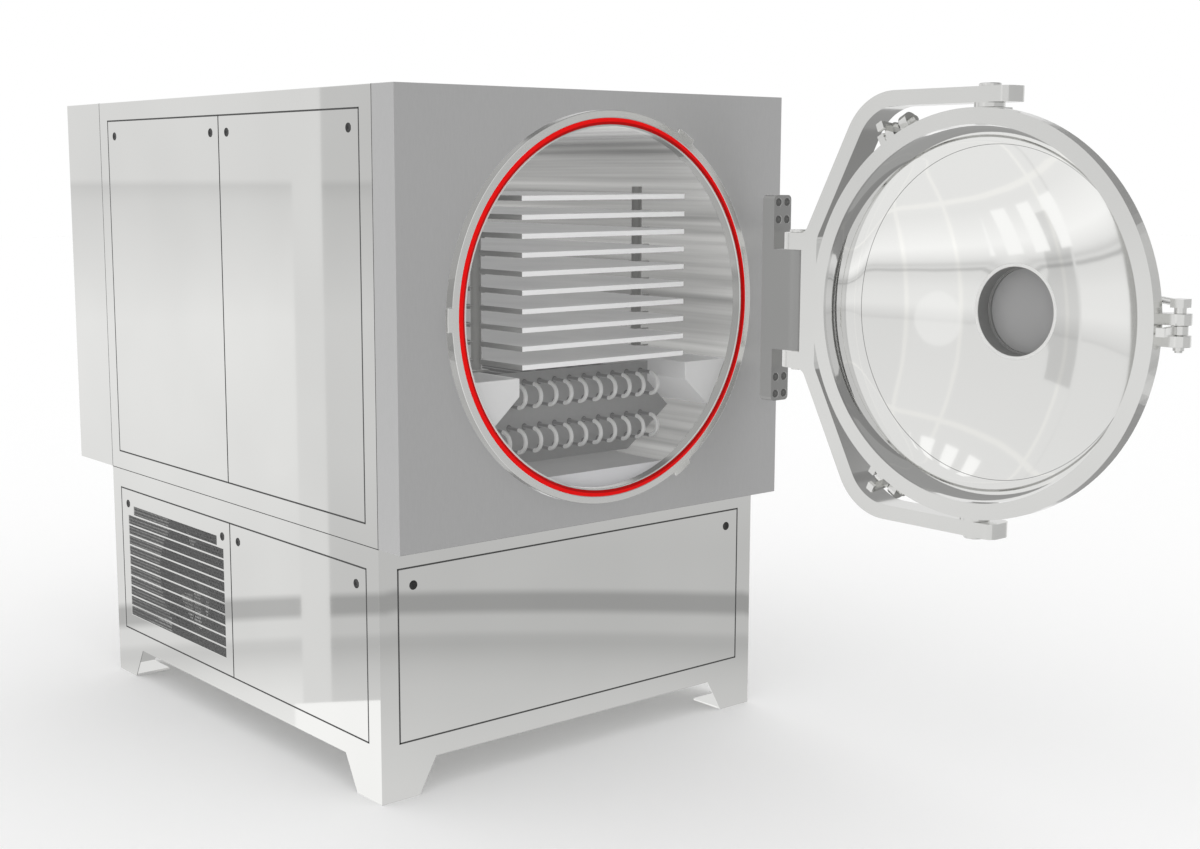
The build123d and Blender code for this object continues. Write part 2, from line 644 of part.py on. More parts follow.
def hinge_bracket():
    back, front = -FASCIA_DEPTH, -FASCIA_DEPTH - BRACKET_OUT
    width = BRACKET_WIDTH
    plate = Plane.XZ * (Pos(BRACKET_X + width / 2, CZ) * RectangleRounded(width, BRACKET_HEIGHT, BRACKET_R))
    bracket = Pos(0, back, 0) * extrude(plate, BRACKET_OUT)
    bracket += block(BRACKET_X, BRACKET_X + width, HINGE_Y, front, CZ - BARREL_HALF, CZ + BARREL_HALF)
    bracket += Pos(HINGE_X, HINGE_Y, 0) * rod(KNUCKLE, CZ - BARREL_HALF, CZ + BARREL_HALF)
    bracket -= Pos(HINGE_X, HINGE_Y, 0) * rod(HINGE_PIN_D / 2 + RUNNING, CZ - BARREL_HALF - 1, CZ + BARREL_HALF + 1)
    for x, z in bracket_screw_places():
        place = Pos(x, 0, z) * Rot(90, 0, 0)
        bracket -= place * prism(SCREW_D / 2 + 0.2, -back - 1, -front + 1, 8)
        bracket -= place * prism(COUNTERBORE[0] / 2, -front - COUNTERBORE[1], -front + 1, 8)
    return bracket


def bracket_screws():
    front = FASCIA_DEPTH + BRACKET_OUT
    seat = front - COUNTERBORE[1]
    screws = []
    for x, z in bracket_screw_places():
        screw = prism(SCREW_HEAD[0] / 2, seat, seat + SCREW_HEAD[1], 8)
        screw += prism(SCREW_D / 2, FASCIA_DEPTH, seat, 8)
        screw -= prism(7, seat + SCREW_HEAD[1] / 2, seat + SCREW_HEAD[1] + 1, 6)
        screws.append(Pos(x, 0, z) * Rot(90, 0, 0) * screw)
    return screws


KNUCKLE_IN = BARREL_HALF + KNUCKLE_GAP
KNUCKLE_OUT = KNUCKLE_IN + YOKE_KNUCKLE
YOKE_ARM_OUT = YOKE_ARM_IN + YOKE_ARM


def corner_arc(before, corner, after, radius):
    """Tangent points and middle of the arc that rounds a corner of an outline."""
    a, b, c = (Vector(*p, 0) for p in (before, corner, after))
    u, v = (a - b).normalized(), (c - b).normalized()
    half = math.radians(u.get_angle(v)) / 2
    reach = radius / math.tan(half)
    bisector = (u + v).normalized()
    centre = b + bisector * (radius / math.sin(half))
    points = b + u * reach, centre - bisector * radius, b + v * reach
    return [(p.X, p.Y) for p in points]


def rounded_outline(corners):
    """A closed outline from corners of (point, radius); a radius of 0 leaves the corner sharp."""
    edges, ends = [], []
    count = len(corners)
    for i, (point, radius) in enumerate(corners):
        if radius:
            a, m, b = corner_arc(corners[i - 1][0], point, corners[(i + 1) % count][0], radius)
            edges.append(ThreePointArc(a, m, b))
            ends.append((a, b))
        else:
            ends.append((point, point))
    for i in range(count):
        edges.append(Line(ends[i - 1][1], ends[i][0]))
    return make_face(Curve() + edges)


def yoke():
    """The fork that carries the door: two arms, leaning flanks and a spine slotted for the hinge barrel."""
    lean = math.tan(math.radians(YOKE_LEAN))
    shift = YOKE_FLANK / math.cos(math.radians(YOKE_LEAN))
    end = HINGE_REACH + YOKE_END
    neck = KNUCKLE + 16.0
    outer_corner = neck + (YOKE_ARM_OUT - KNUCKLE_OUT) * lean
    inner_corner = neck + shift + (YOKE_ARM_IN - KNUCKLE_OUT) * lean
    spine_corner = KNUCKLE_OUT + (YOKE_SPINE_IN - neck - shift) / lean
    upper = [
        ((YOKE_SPINE_IN, spine_corner), 60.0),
        ((inner_corner, YOKE_ARM_IN), YOKE_BEND_R - YOKE_ARM),
        ((end, YOKE_ARM_IN), 0),
        ((end, YOKE_ARM_OUT), 0),
        ((outer_corner, YOKE_ARM_OUT), YOKE_BEND_R),
        ((neck, KNUCKLE_OUT), YOKE_NECK_R),
        ((-KNUCKLE - 1, KNUCKLE_OUT), 0),
        ((-KNUCKLE - 1, KNUCKLE_IN), 0),
        ((YOKE_SLOT_WALL, KNUCKLE_IN), 0),
    ]
    lower = [((d, -z), r) for (d, z), r in reversed(upper)]
    side = rounded_outline(upper + lower)
    plan = rounded_outline([
        ((-KNUCKLE, -KNUCKLE), KNUCKLE - 0.01), ((end, -KNUCKLE), YOKE_END_R),
        ((end, KNUCKLE), YOKE_END_R), ((-KNUCKLE, KNUCKLE), KNUCKLE - 0.01),
    ])
    fork = Pos(0, KNUCKLE + 1, 0) * extrude(Plane.XZ * side, 2 * KNUCKLE + 2)
    fork &= Pos(0, 0, -YOKE_ARM_OUT - 1) * extrude(plan, 2 * YOKE_ARM_OUT + 2)
    fork -= rod(HINGE_PIN_D / 2 + RUNNING, -KNUCKLE_OUT - 1, KNUCKLE_OUT + 1)
    fork -= Pos(HINGE_REACH, PIVOT_SHIFT, 0) * rod(PIVOT_D / 2 + RUNNING, -YOKE_ARM_OUT - 1, YOKE_ARM_OUT + 1)
    # the outline is drawn along +X; the closed yoke runs from the hinge towards -X
    return opened(Pos(HINGE_X, HINGE_Y, CZ) * Rot(0, 0, 180) * fork)


PIVOT_Y = -(DOOR_FACE + PIVOT_OFFSET)
PIVOT_SHIFT = -(PIVOT_Y - HINGE_Y)


def hinge_pin():
    pin = rod(HINGE_PIN_D / 2, -KNUCKLE_OUT - PIN_HEAD[1], KNUCKLE_OUT)
    head = rod(PIN_HEAD[0] / 2, KNUCKLE_OUT, KNUCKLE_OUT + PIN_HEAD[1])
    head = chamfer(head.edges().sort_by(Axis.Z)[-1], 2.5)
    return Pos(HINGE_X, HINGE_Y, CZ) * (pin + head)


def pivot_pins():
    """The two headed pins that the door turns on: through an arm and its washer, into the door's boss."""
    pins = []
    for side in (1, -1):
        low = FLANGE_R - PIVOT_DEPTH + 0.5
        pin = rod(PIVOT_D / 2, low, YOKE_ARM_OUT)
        head = rod(PIN_HEAD[0] / 2, YOKE_ARM_OUT, YOKE_ARM_OUT + PIN_HEAD[1])
        head = chamfer(head.edges().sort_by(Axis.Z)[-1], 2.5)
        pin = pin + head
        pins.append(opened(Pos(CX, PIVOT_Y, CZ) * (pin if side > 0 else Rot(180, 0, 0) * pin)))
    return pins


def pivot_washers():
    washer = tube(PIVOT_WASHER[0] / 2, PIVOT_D / 2 + RUNNING, YOKE_ARM_IN - PIVOT_WASHER[1], YOKE_ARM_IN)
    return [opened(Pos(CX, PIVOT_Y, CZ) * Rot(turn, 0, 0) * washer) for turn in (0, 180)]


# ---- door ------------------------------------------------------------------------------------
def door_ring():
    """The forged door ring, with a boss behind its rim at top and bottom for the pivot pins."""
    back = DOOR_FACE + RING_THICK
    pivot = DOOR_FACE + PIVOT_OFFSET
    ring = tube(FLANGE_R, BORE_R, DOOR_FACE, back)
    ring -= rod(BORE_R + HEAD_WALL, DOOR_FACE + HEAD_RIM, back + 1)
    half = PIVOT_BOSS[0] / 2
    boss = block(-half, half, FLANGE_R - PIVOT_BOSS[1], FLANGE_R, back, pivot + half)
    boss -= Pos(0, 0, DOOR_FACE + HEAD_RIM) * dome(HEAD_WALL + 0.4, HEAD_STRAIGHT)
    boss = fillet(boss.edges().filter_by(Axis.Y).sort_by(Axis.Z)[-2:], BOSS_R)
    ring += boss + Rot(0, 0, 180) * boss
    for turn in (-90, 90):
        ring -= Pos(0, 0, pivot) * Rot(turn, 0, 0) * rod(PIVOT_D / 2 + RUNNING, FLANGE_R - PIVOT_DEPTH, FLANGE_R + 1)
    return opened(on_axis(ring))


def door_head():
    """The dished head of the door, polished inside, with the hole for the sight port in its crown."""
    head = dome(HEAD_WALL, HEAD_STRAIGHT) - dome(0, HEAD_STRAIGHT)
    head -= rod(PORT_R, 0, CROWN_R)
    return opened(on_axis(Pos(0, 0, DOOR_FACE + HEAD_RIM) * head))


PORT_START = DOOR_FACE + HEAD_RIM + crown_height(HEAD_STRAIGHT, PORT_R)
GLASS_SEAT = PORT_START + PORT_LENGTH
PORT_TOP = GLASS_SEAT + GLASS_THICK


def sight_port_tube():
    """The port's tube: flush with the inside of the head, with a stepped bore and a flange for the glass."""
    low = GLASS_SEAT - 10
    bore = PORT_R - PORT_WALL
    return opened(on_axis(turned([
        (bore, PORT_START), (PORT_R, PORT_START), (PORT_R, low), (PORT_FLANGE_R, low), (PORT_FLANGE_R, PORT_TOP),
        (GLASS_R + 0.2, PORT_TOP), (GLASS_R + 0.2, GLASS_SEAT), (PORT_SIGHT_R, GLASS_SEAT), (PORT_SIGHT_R, low),
        (bore, low),
    ])))


def sight_glass():
    return opened(on_axis(rod(GLASS_R, GLASS_SEAT, PORT_TOP)))


def port_screw_places():
    radius = (GLASS_R + PORT_FLANGE_R) / 2
    return [Rot(0, 0, (i + 0.5) * 360 / PORT_SCREWS) * Pos(radius, 0, 0) for i in range(PORT_SCREWS)]


def sight_clamp_ring():
    ring = tube(PORT_FLANGE_R, GLASS_RING_IN, PORT_TOP, PORT_TOP + GLASS_RING)
    return opened(on_axis(ring))


def sight_screws():
    """Cap screws on the glass ring, standing on it."""
    top = PORT_TOP + GLASS_RING
    return [
        opened(on_axis(place * extrude(Pos(0, 0, top) * RegularPolygon(PORT_SCREW_D / 2 + 2, 6), PORT_SCREW_D)))
        for place in port_screw_places()
    ]


# ---- clamps ----------------------------------------------------------------------------------
# Each clamp is built with local X away from the door's axis, Y along the rim and Z behind the sealing face.
def at_clamp(angle, shape):
    return opened(on_axis(Pos(0, 0, DOOR_FACE) * Rot(0, 0, angle) * shape))


def across(shape):
    """Lay a shape drawn on Z along the rim."""
    return Pos(PIN_RADIUS, 0, PIN_DEPTH) * Rot(-90, 0, 0) * shape


def plate_xz(points, half):
    face = polygon(points)
    return Pos(0, half, 0) * extrude(Plane.XZ * face, 2 * half)


def clamp_ears():
    """Two ears on the back of the ring that carry a clamp's pin."""
    inner, outer = EAR_GAP / 2, EAR_GAP / 2 + EAR_THICK
    top = PIN_DEPTH + EAR_R
    side = [
        (FLANGE_R - EAR_ROOT, RING_THICK), (PIN_RADIUS, RING_THICK), (PIN_RADIUS, top), (PIN_RADIUS - 14, top),
        (FLANGE_R - EAR_ROOT, RING_THICK + 24),
    ]
    ears = plate_xz(side, outer) + across(rod(EAR_R, -outer, outer))
    ears -= block(0, PIN_RADIUS + EAR_R + 1, -inner, inner, RING_THICK - 1, top + 1)
    ears -= across(rod(CLAMP_PIN_D / 2 + RUNNING, -outer - 1, outer + 1))
    return ears.solids()


def clamp_pin(side):
    """The fixed pin through both ears, headed at one end; the hook turns on it, and so does the handle."""
    outer = EAR_GAP / 2 + EAR_THICK
    pin = rod(CLAMP_PIN_D / 2, -outer - CLAMP_PIN_END, outer + LEVER_COLLAR[1] + LEVER_GRIP)
    pin += rod(CLAMP_PIN_D / 2 + 4, -outer - CLAMP_PIN_END + 5, -outer)
    pin = across(pin)
    return pin if side > 0 else mirror(pin, about=Plane.XZ)


def clamp_hook():
    """The hook: an arm across the joint with a claw that bites behind a lug of the flange."""
    back = -SEAL_GAP - LUG_PLATE - CLAW_GAP
    half = HOOK_THICK / 2
    side = [
        (HOOK_IN, PIN_DEPTH), (HOOK_OUT, PIN_DEPTH), (HOOK_OUT, back - CLAW), (CLAW_IN, back - CLAW),
        (CLAW_IN, back), (HOOK_IN, back),
    ]
    hook = plate_xz(side, half) + across(rod(HOOK_BOSS_R, -half, half))
    hook -= across(rod(CLAMP_PIN_D / 2 + RUNNING, -half - 1, half + 1))
    pivot = Pos(PIN_RADIUS, 0, PIN_DEPTH)
    return pivot * Rot(0, -HOOK_REST, 0) * Pos(-PIN_RADIUS, 0, -PIN_DEPTH) * hook


def clamp_lever(side):
    """A handle that turns on the end of the clamp's pin: collar, block and knurled bar."""
    outer = EAR_GAP / 2 + EAR_THICK
    low = outer + LEVER_COLLAR[1]
    wide, tall = LEVER_BLOCK
    lever = rod(LEVER_COLLAR[0] / 2, outer + 0.3, low)
    lever += block(-wide / 2, wide / 2, -wide / 2, wide / 2, low, low + tall)
    bar = Pos(0, 0, low + tall / 2) * Rot(0, -90, 0) * rod(LEVER_BAR_D / 2, 0, LEVER_LENGTH)
    lever += Rot(0, 0, LEVER_ANGLE) * bar
    lever -= rod(CLAMP_PIN_D / 2 + RUNNING, outer, low + LEVER_GRIP + 0.5)
    lever = across(lever)
    return lever if side > 0 else mirror(lever, about=Plane.XZ)


# ---- machinery in the base -------------------------------------------------------------------
FAN_Y = (REAR_HALF[0] + REAR_HALF[1]) / 2
FAN_Z = 400.0


def fan_axis(shape):
    """From the turning frame to the fan's axis: local Z runs inwards from the left side."""
    return Pos(0, FAN_Y, FAN_Z) * Rot(0, 90, 0) * shape


def fan_motor():
    """The motor on a spider across its shroud: a duct ring on an upright plate that stands on the floor pan."""
    hole = FAN_R + FAN_CLEARANCE
    back = FAN_FROM_SIDE + SHROUD_DEPTH
    front = back + SHROUD_WALL
    plate = block(back, front, FAN_Y - 230, FAN_Y + 230, FLOOR_PAN, FAN_Z + 230)
    plate += block(back, back + 60, FAN_Y - 230, FAN_Y + 230, FLOOR_PAN, FLOOR_PAN + SHROUD_WALL)
    plate += fan_axis(rod(hole + SHROUD_WALL, FAN_FROM_SIDE, back))
    plate -= fan_axis(rod(hole, FAN_FROM_SIDE - 1, front + 1))
    motor = rod(MOTOR[0], front, front + MOTOR[1])
    for turn in (0, 90):
        motor += Rot(0, 0, turn) * block(-FAN_R - 40, FAN_R + 40, -12, 12, front, front + 6)
    motor += rod(8, FAN_FROM_SIDE + 10, front + 1)
    return plate + fan_axis(motor)


def fan_rotor():
    """A hub with pitched blades, bored for the motor's shaft."""
    low = FAN_FROM_SIDE + 8
    rotor = rod(FAN_HUB_R, low, low + FAN_DEPTH)
    ring = rod(FAN_R, low - 5, low + FAN_DEPTH + 5)
    blade = block(FAN_HUB_R - 8, FAN_R + 20, -38, 38, -2, 2)
    for i in range(FAN_BLADES):
        pitched = Pos(0, 0, low + FAN_DEPTH / 2) * Rot(25, 0, 0) * blade
        rotor += Rot(0, 0, i * 360 / FAN_BLADES) * pitched & ring
    rotor -= rod(8 + RUNNING, low - 6, low + FAN_DEPTH + 6)
    return fan_axis(rotor)


def air_condenser():
    """The finned block behind the fan, between two end plates on the floor pan."""
    x0, x1 = 250.0, 330.0
    y0, y1 = FAN_Y - 210, FAN_Y + 210
    core = block(x0, x1, y0, y0 + 4, FLOOR_PAN, 620) + block(x0, x1, y1 - 4, y1, FLOOR_PAN, 620)
    core += block(x0, x1, y0, y1, FLOOR_PAN, FLOOR_PAN + 4)
    pitch = (y1 - y0) / (CONDENSER_FINS + 1)
    for i in range(CONDENSER_FINS):
        y = y0 + (i + 1) * pitch
        core += block(x0 + 6, x1 - 6, y - 1.5, y + 1.5, FLOOR_PAN + 1, 612)
    for row in range(4):
        z = FLOOR_PAN + 80 + row * 105
        core += Pos((x0 + x1) / 2, (y0 + y1) / 2, z) * Box(18, y1 - y0, 18)
    return core


def compressor():
    """A hermetic refrigeration compressor on its foot plate."""
    y = FAN_Y + 60
    body = Pos(560, y, FLOOR_PAN) * (rod(112, 20, 250) + rod(84, 240, 285) + rod(20, 280, 310))
    return body + block(420, 700, y - 110, y + 110, FLOOR_PAN, FLOOR_PAN + 24)


def vacuum_pump():
    """An oil-sealed rotary vane pump: oil case, pump block, motor and exhaust filter on one base."""
    pump = block(820, 1120, 380, 640, FLOOR_PAN, FLOOR_PAN + 30)
    pump += block(840, 1100, 400, 620, FLOOR_PAN + 25, FLOOR_PAN + 290)
    pump += Pos(970, 610, FLOOR_PAN + 160) * Rot(-90, 0, 0) * rod(95, 0, 320)
    pump += Pos(900, 500, FLOOR_PAN + 280) * rod(42, 0, 160)
    return pump + block(880, 1060, 640, 900, FLOOR_PAN, FLOOR_PAN + 80)


def circulation_pump():
    """The small pump that drives the shelf fluid, with its volute and motor."""
    pump = block(400, 640, 420, 560, FLOOR_PAN, FLOOR_PAN + 20)
    pump += block(420, 620, 455, 525, FLOOR_PAN + 15, FLOOR_PAN + 60)
    pump += Pos(410, 490, FLOOR_PAN + 120) * Rot(0, 90, 0) * rod(62, 0, 200)
    pump += Pos(370, 490, FLOOR_PAN + 120) * Rot(0, 90, 0) * rod(85, 0, 50)
    return pump


def build():
    parts["base_frame"] = base_frame()
    parts["base_front_panel"] = panel("front", PANEL_MARGIN, WIDTH - PANEL_MARGIN, BASE_WINDOW)
    parts["base_rear_panel"] = panel("rear", PANEL_MARGIN, WIDTH - PANEL_MARGIN, BASE_WINDOW)
    parts["base_left_panel"] = panel("left", *FRONT_HALF, BASE_WINDOW)
    parts["base_grille_panel"] = grille_panel()
    parts["grille_mesh"] = grille_mesh()
    parts["base_right_front_panel"] = panel("right", *FRONT_HALF, BASE_WINDOW)
    parts["base_right_rear_panel"] = panel("right", *REAR_HALF, BASE_WINDOW)
    parts["upper_frame"] = upper_frame()
    for side in ("left", "right"):
        parts[f"upper_{side}_front_panel"] = panel(side, *FRONT_HALF, UPPER_WINDOW)
        parts[f"upper_{side}_rear_panel"] = panel(side, *REAR_HALF, UPPER_WINDOW)
    parts["panel_locks"] = [outward(*place) * lock() for place in LOCKS]
    parts["front_fascia"] = front_fascia()
    parts["rear_housing"] = rear_housing()
    parts["chamber_shell"] = chamber_shell()
    parts["chamber_flange"] = chamber_flange()
    parts["door_seal"] = door_seal()
    for i in range(SHELF_COUNT):
        parts[f"shelf_{i + 1:02d}"] = shelf(i)
    parts["shelf_posts"] = shelf_posts()
    parts["left_trough"] = trough(-1)
    parts["right_trough"] = trough(1)
    parts["condenser_tube_sheet"] = coil_plate(SHEET_PLATE_Y, SHEET_PLATE)
    parts["condenser_coil"] = [hairpin(x, z) for x, z in coil_places()]
    parts["drain_tray"] = drain_tray()
    parts["hinge_bracket"] = hinge_bracket()
    parts["bracket_screws"] = bracket_screws()
    parts["yoke"] = yoke()
    parts["hinge_pin"] = hinge_pin()
    parts["pivot_pins"] = pivot_pins()
    parts["pivot_washers"] = pivot_washers()
    parts["door_ring"] = door_ring()
    parts["door_head"] = door_head()
    parts["sight_port_tube"] = sight_port_tube()
    parts["sight_glass"] = sight_glass()
    parts["sight_clamp_ring"] = sight_clamp_ring()
    parts["sight_screws"] = sight_screws()
    parts["clamp_brackets"] = [
        at_clamp(angle, piece) for angle, side in CLAMPS for piece in clamp_ears() + [clamp_pin(side)]
    ]
    for i, (angle, side) in enumerate(CLAMPS):
        parts[f"clamp_hook_{i + 1}"] = at_clamp(angle, clamp_hook())
        parts[f"clamp_lever_{i + 1}"] = at_clamp(angle, clamp_lever(side))
    parts["fan_motor"] = fan_motor()
    parts["fan_rotor"] = fan_rotor()
    parts["air_condenser"] = air_condenser()
    parts["compressor"] = compressor()
    parts["vacuum_pump"] = vacuum_pump()
    parts["circulation_pump"] = circulation_pump()


build()
solids = {}
for name, shape in parts.items():
    pieces = shape if isinstance(shape, list) else [shape]
    solids[name] = [solid for piece in pieces for solid in piece.solids()]

boxes = [solid.bounding_box() for group in solids.values() for solid in group]
low = [min(getattr(box.min, axis) for box in boxes) for axis in "XYZ"]
high = [max(getattr(box.max, axis) for box in boxes) for axis in "XYZ"]
shift = Pos(-(low[0] + high[0]) / 2, -(low[1] + high[1]) / 2, -low[2])
print("shift", shift.position.X, shift.position.Y, shift.position.Z, "nodes", len(solids))

for name, group in solids.items():
    moved = [shift * solid for solid in group]
    shape = moved[0] if len(moved) == 1 else Compound(children=moved)
    shape.label = name
    export_step(shape, f"parts/{name}.step")
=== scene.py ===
import bpy
import json
import math
from mathutils import Matrix, Vector

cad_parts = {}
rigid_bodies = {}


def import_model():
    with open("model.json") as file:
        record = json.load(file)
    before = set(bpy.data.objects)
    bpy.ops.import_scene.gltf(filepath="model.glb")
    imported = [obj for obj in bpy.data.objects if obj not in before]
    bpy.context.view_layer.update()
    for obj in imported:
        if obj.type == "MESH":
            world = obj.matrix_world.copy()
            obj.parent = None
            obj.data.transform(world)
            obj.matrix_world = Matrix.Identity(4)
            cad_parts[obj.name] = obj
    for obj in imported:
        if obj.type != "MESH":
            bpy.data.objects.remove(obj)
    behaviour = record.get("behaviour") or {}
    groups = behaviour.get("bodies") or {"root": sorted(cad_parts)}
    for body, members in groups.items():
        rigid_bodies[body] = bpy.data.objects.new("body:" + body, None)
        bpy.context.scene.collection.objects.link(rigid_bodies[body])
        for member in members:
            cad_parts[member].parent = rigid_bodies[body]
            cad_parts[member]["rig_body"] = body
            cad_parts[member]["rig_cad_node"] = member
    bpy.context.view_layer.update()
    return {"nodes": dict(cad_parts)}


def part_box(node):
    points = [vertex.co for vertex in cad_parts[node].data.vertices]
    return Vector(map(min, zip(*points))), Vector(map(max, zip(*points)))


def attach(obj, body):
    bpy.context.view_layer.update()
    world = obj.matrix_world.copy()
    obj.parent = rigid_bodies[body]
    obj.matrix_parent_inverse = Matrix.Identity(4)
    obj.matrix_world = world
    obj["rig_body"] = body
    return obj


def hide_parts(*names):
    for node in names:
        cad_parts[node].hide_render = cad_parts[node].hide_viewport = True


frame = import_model()
nodes = frame["nodes"]

# ---- cabinet sheet ------------------------------------------------------------------------------
# The base, the upper frame and the lift-off panels are 3 mm AISI 304 stainless sheet, folded, welded and
# polished by belt and mop. It gives back the room softly, with the faint waviness of thin sheet.
MM = 0.001
SMOOTH = math.radians(32)                  # faces that meet flatter than this are shaded as one
SMOOTH_SPUN = math.radians(40)             # the same for tube bends and the spun head


def linear(code):
    """An sRGB hex colour as linear RGBA."""
    values = [int(code[i:i + 2], 16) / 255 for i in (1, 3, 5)]
    return [v / 12.92 if v <= 0.04045 else ((v + 0.055) / 1.055) ** 2.4 for v in values] + [1.0]


def node(tree, kind, links=(), **settings):
    """Adds one node with its settings and the links into it."""
    made = tree.nodes.new(kind)
    for key, value in settings.items():
        if key in made.inputs.keys():
            made.inputs[key].default_value = value
        else:
            setattr(made, key, value)
    for source, target in links:
        tree.links.new(source, made.inputs[target])
    return made


def finish_of(name, color, metallic, roughness):
    """A new material for one finish: its tree, its shader and the piece's own coordinates."""
    made = bpy.data.materials.new(name)
    made.use_nodes = True
    shader = made.node_tree.nodes["Principled BSDF"]
    shader.inputs["Base Color"].default_value = linear(color)
    shader.inputs["Metallic"].default_value = metallic
    shader.inputs["Roughness"].default_value = roughness
    place = node(made.node_tree, "ShaderNodeTexCoord").outputs["Object"]
    return made, made.node_tree, shader, place


def two_tones(tree, shader, factor, color, dark, light):
    """Varies the colour between a darker and a lighter tone by a pattern."""
    tone = node(tree, "ShaderNodeMix", [(factor, 0)], data_type="RGBA")
    tone.inputs[6].default_value = [v * dark for v in linear(color)[:3]] + [1.0]
    tone.inputs[7].default_value = [min(1.0, v * light) for v in linear(color)[:3]] + [1.0]
    tree.links.new(tone.outputs[2], shader.inputs["Base Color"])


def relief(tree, shader, factor, strength, depth):
    """Lets a pattern stand up from the face by a depth in metres, at a strength."""
    bump = node(tree, "ShaderNodeBump", [(factor, "Height")], Strength=strength, Distance=depth)
    tree.links.new(bump.outputs["Normal"], shader.inputs["Normal"])


def polished_sheet(name, color, roughness=0.02, wave=0.002):
    """Mopped stainless: tone clouds about 450 mm across, and waves in the sheet about 300 mm long."""
    made, tree, shader, place = finish_of(name, color, 1.0, roughness)
    cloud = node(tree, "ShaderNodeTexNoise", [(place, "Vector")], Scale=1 / 0.45, Detail=2.0)
    two_tones(tree, shader, cloud.outputs["Fac"], color, 0.95, 1.05)
    waves = node(tree, "ShaderNodeTexNoise", [(place, "Vector")], Scale=1 / 0.3, Detail=1.0)
    relief(tree, shader, waves.outputs["Fac"], wave, 10 * MM)
    return made


def dress(piece, made):
    """Gives a piece its finish."""
    piece.data.materials.clear()
    piece.data.materials.append(made)


def only(piece):
    """Selects this piece and nothing else."""
    bpy.ops.object.select_all(action="DESELECT")
    piece.select_set(True)
    bpy.context.view_layer.objects.active = piece


def bevelled(piece, width, steps, angle=30):
    """Eases a piece's sharp edges by a width in millimetres."""
    ease = piece.modifiers.new("eased edges", "BEVEL")
    ease.width = width * MM
    ease.segments = steps
    ease.limit_method = "ANGLE"
    ease.angle_limit = math.radians(angle)
    bpy.ops.object.modifier_apply(modifier=ease.name)


def worked_copy(name, source, body, made, bevel=0.0, steps=2):
    """A CAD node's own form with its doubles merged and its sharp edges eased, in place of that node."""
    piece = nodes[source].copy()
    piece.data = nodes[source].data.copy()
    piece.parent = None
    piece.matrix_world = Matrix.Identity(4)
    piece.name = name
    bpy.context.scene.collection.objects.link(piece)
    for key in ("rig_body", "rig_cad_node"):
        if key in piece:
            del piece[key]
    only(piece)
    bpy.ops.object.mode_set(mode="EDIT")
    bpy.ops.mesh.select_all(action="SELECT")
    bpy.ops.mesh.remove_doubles(threshold=0.01 * MM)
    bpy.ops.mesh.dissolve_limited(angle_limit=math.radians(0.5))
    bpy.ops.object.mode_set(mode="OBJECT")
    bpy.ops.object.shade_smooth_by_angle(angle=SMOOTH)
    if bevel:
        bevelled(piece, bevel, steps, 40)
        flat = piece.modifiers.new("flat faces", "WEIGHTED_NORMAL")
        flat.weight = 100
        flat.keep_sharp = True
        bpy.ops.object.modifier_apply(modifier=flat.name)
    dress(piece, made)
    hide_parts(source)
    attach(piece, body)


sheet = polished_sheet("polished_stainless_sheet", "#e6e6e4")
for name in ("base_frame", "upper_frame"):
    worked_copy(f"{name}_sheet", name, "cabinet", sheet, bevel=1.2)
PANELS = ["base_front_panel", "base_left_panel", "base_grille_panel", "base_right_front_panel"]
PANELS += ["base_right_rear_panel", "base_rear_panel", "upper_left_front_panel", "upper_left_rear_panel"]
PANELS += ["upper_right_front_panel", "upper_right_rear_panel"]
for name in PANELS:
    worked_copy(f"{name}_sheet", name, "cabinet", sheet, bevel=0.5, steps=1)
worked_copy("rear_housing_sheet", "rear_housing", "cabinet", sheet, bevel=1.2)

# ---- panel seals --------------------------------------------------------------------------------
# A dark grey EPDM bead is pressed into the 3 mm gap round every lift-off panel. Its 5 mm head laps both
# edges and shows as a fine dark line. The same bead closes the joints of the upper frame with the base,
# the fascia and the rear box.


def mottled(name, color, metallic, roughness, per_metre, dark, light):
    """A finish whose tone varies in specks, by how many there are in a metre."""
    made, tree, shader, place = finish_of(name, color, metallic, roughness)
    specks = node(tree, "ShaderNodeTexNoise", [(place, "Vector")], Scale=per_metre)
    two_tones(tree, shader, specks.outputs["Fac"], color, dark, light)
    return made


strip_rubber = mottled("epdm_bead", "#454545", 0.0, 0.7, 400.0, 0.8, 1.2)
STRIP = 5.0 * MM                           # width of the bead's head
STRIP_PROUD = 0.5 * MM
STRIP_DEEP = 0.8 * MM
JOINT = 2.6 * MM                           # width of the head over a joint of two boxes
GAP = 3.0 * MM
base_low, base_high = (Vector(v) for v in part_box("base_frame"))
strips = []


def bead(place_at, size):
    """One straight length of the bead."""
    bpy.ops.object.select_all(action="DESELECT")
    bpy.ops.mesh.primitive_cube_add(size=1, location=place_at, scale=size)
    bpy.ops.object.transform_apply(location=True, rotation=False, scale=True)
    strips.append(bpy.context.object)


def panel_face(name):
    """A panel's box, the axis it faces along, the way it faces (-1 or 1) and where its outer face lies."""
    low, high = (Vector(v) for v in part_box(name))
    normal = min(range(3), key=lambda i: (high - low)[i])
    if low[normal] < (base_low[normal] + base_high[normal]) / 2:
        return low, high, normal, -1, low[normal]
    return low, high, normal, 1, high[normal]


def joined(pieces, name):
    """Joins like pieces into one, under one name."""
    only(pieces[0])
    for piece in pieces:
        piece.select_set(True)
    bpy.ops.object.join()
    bpy.context.object.name = name
    return bpy.context.object


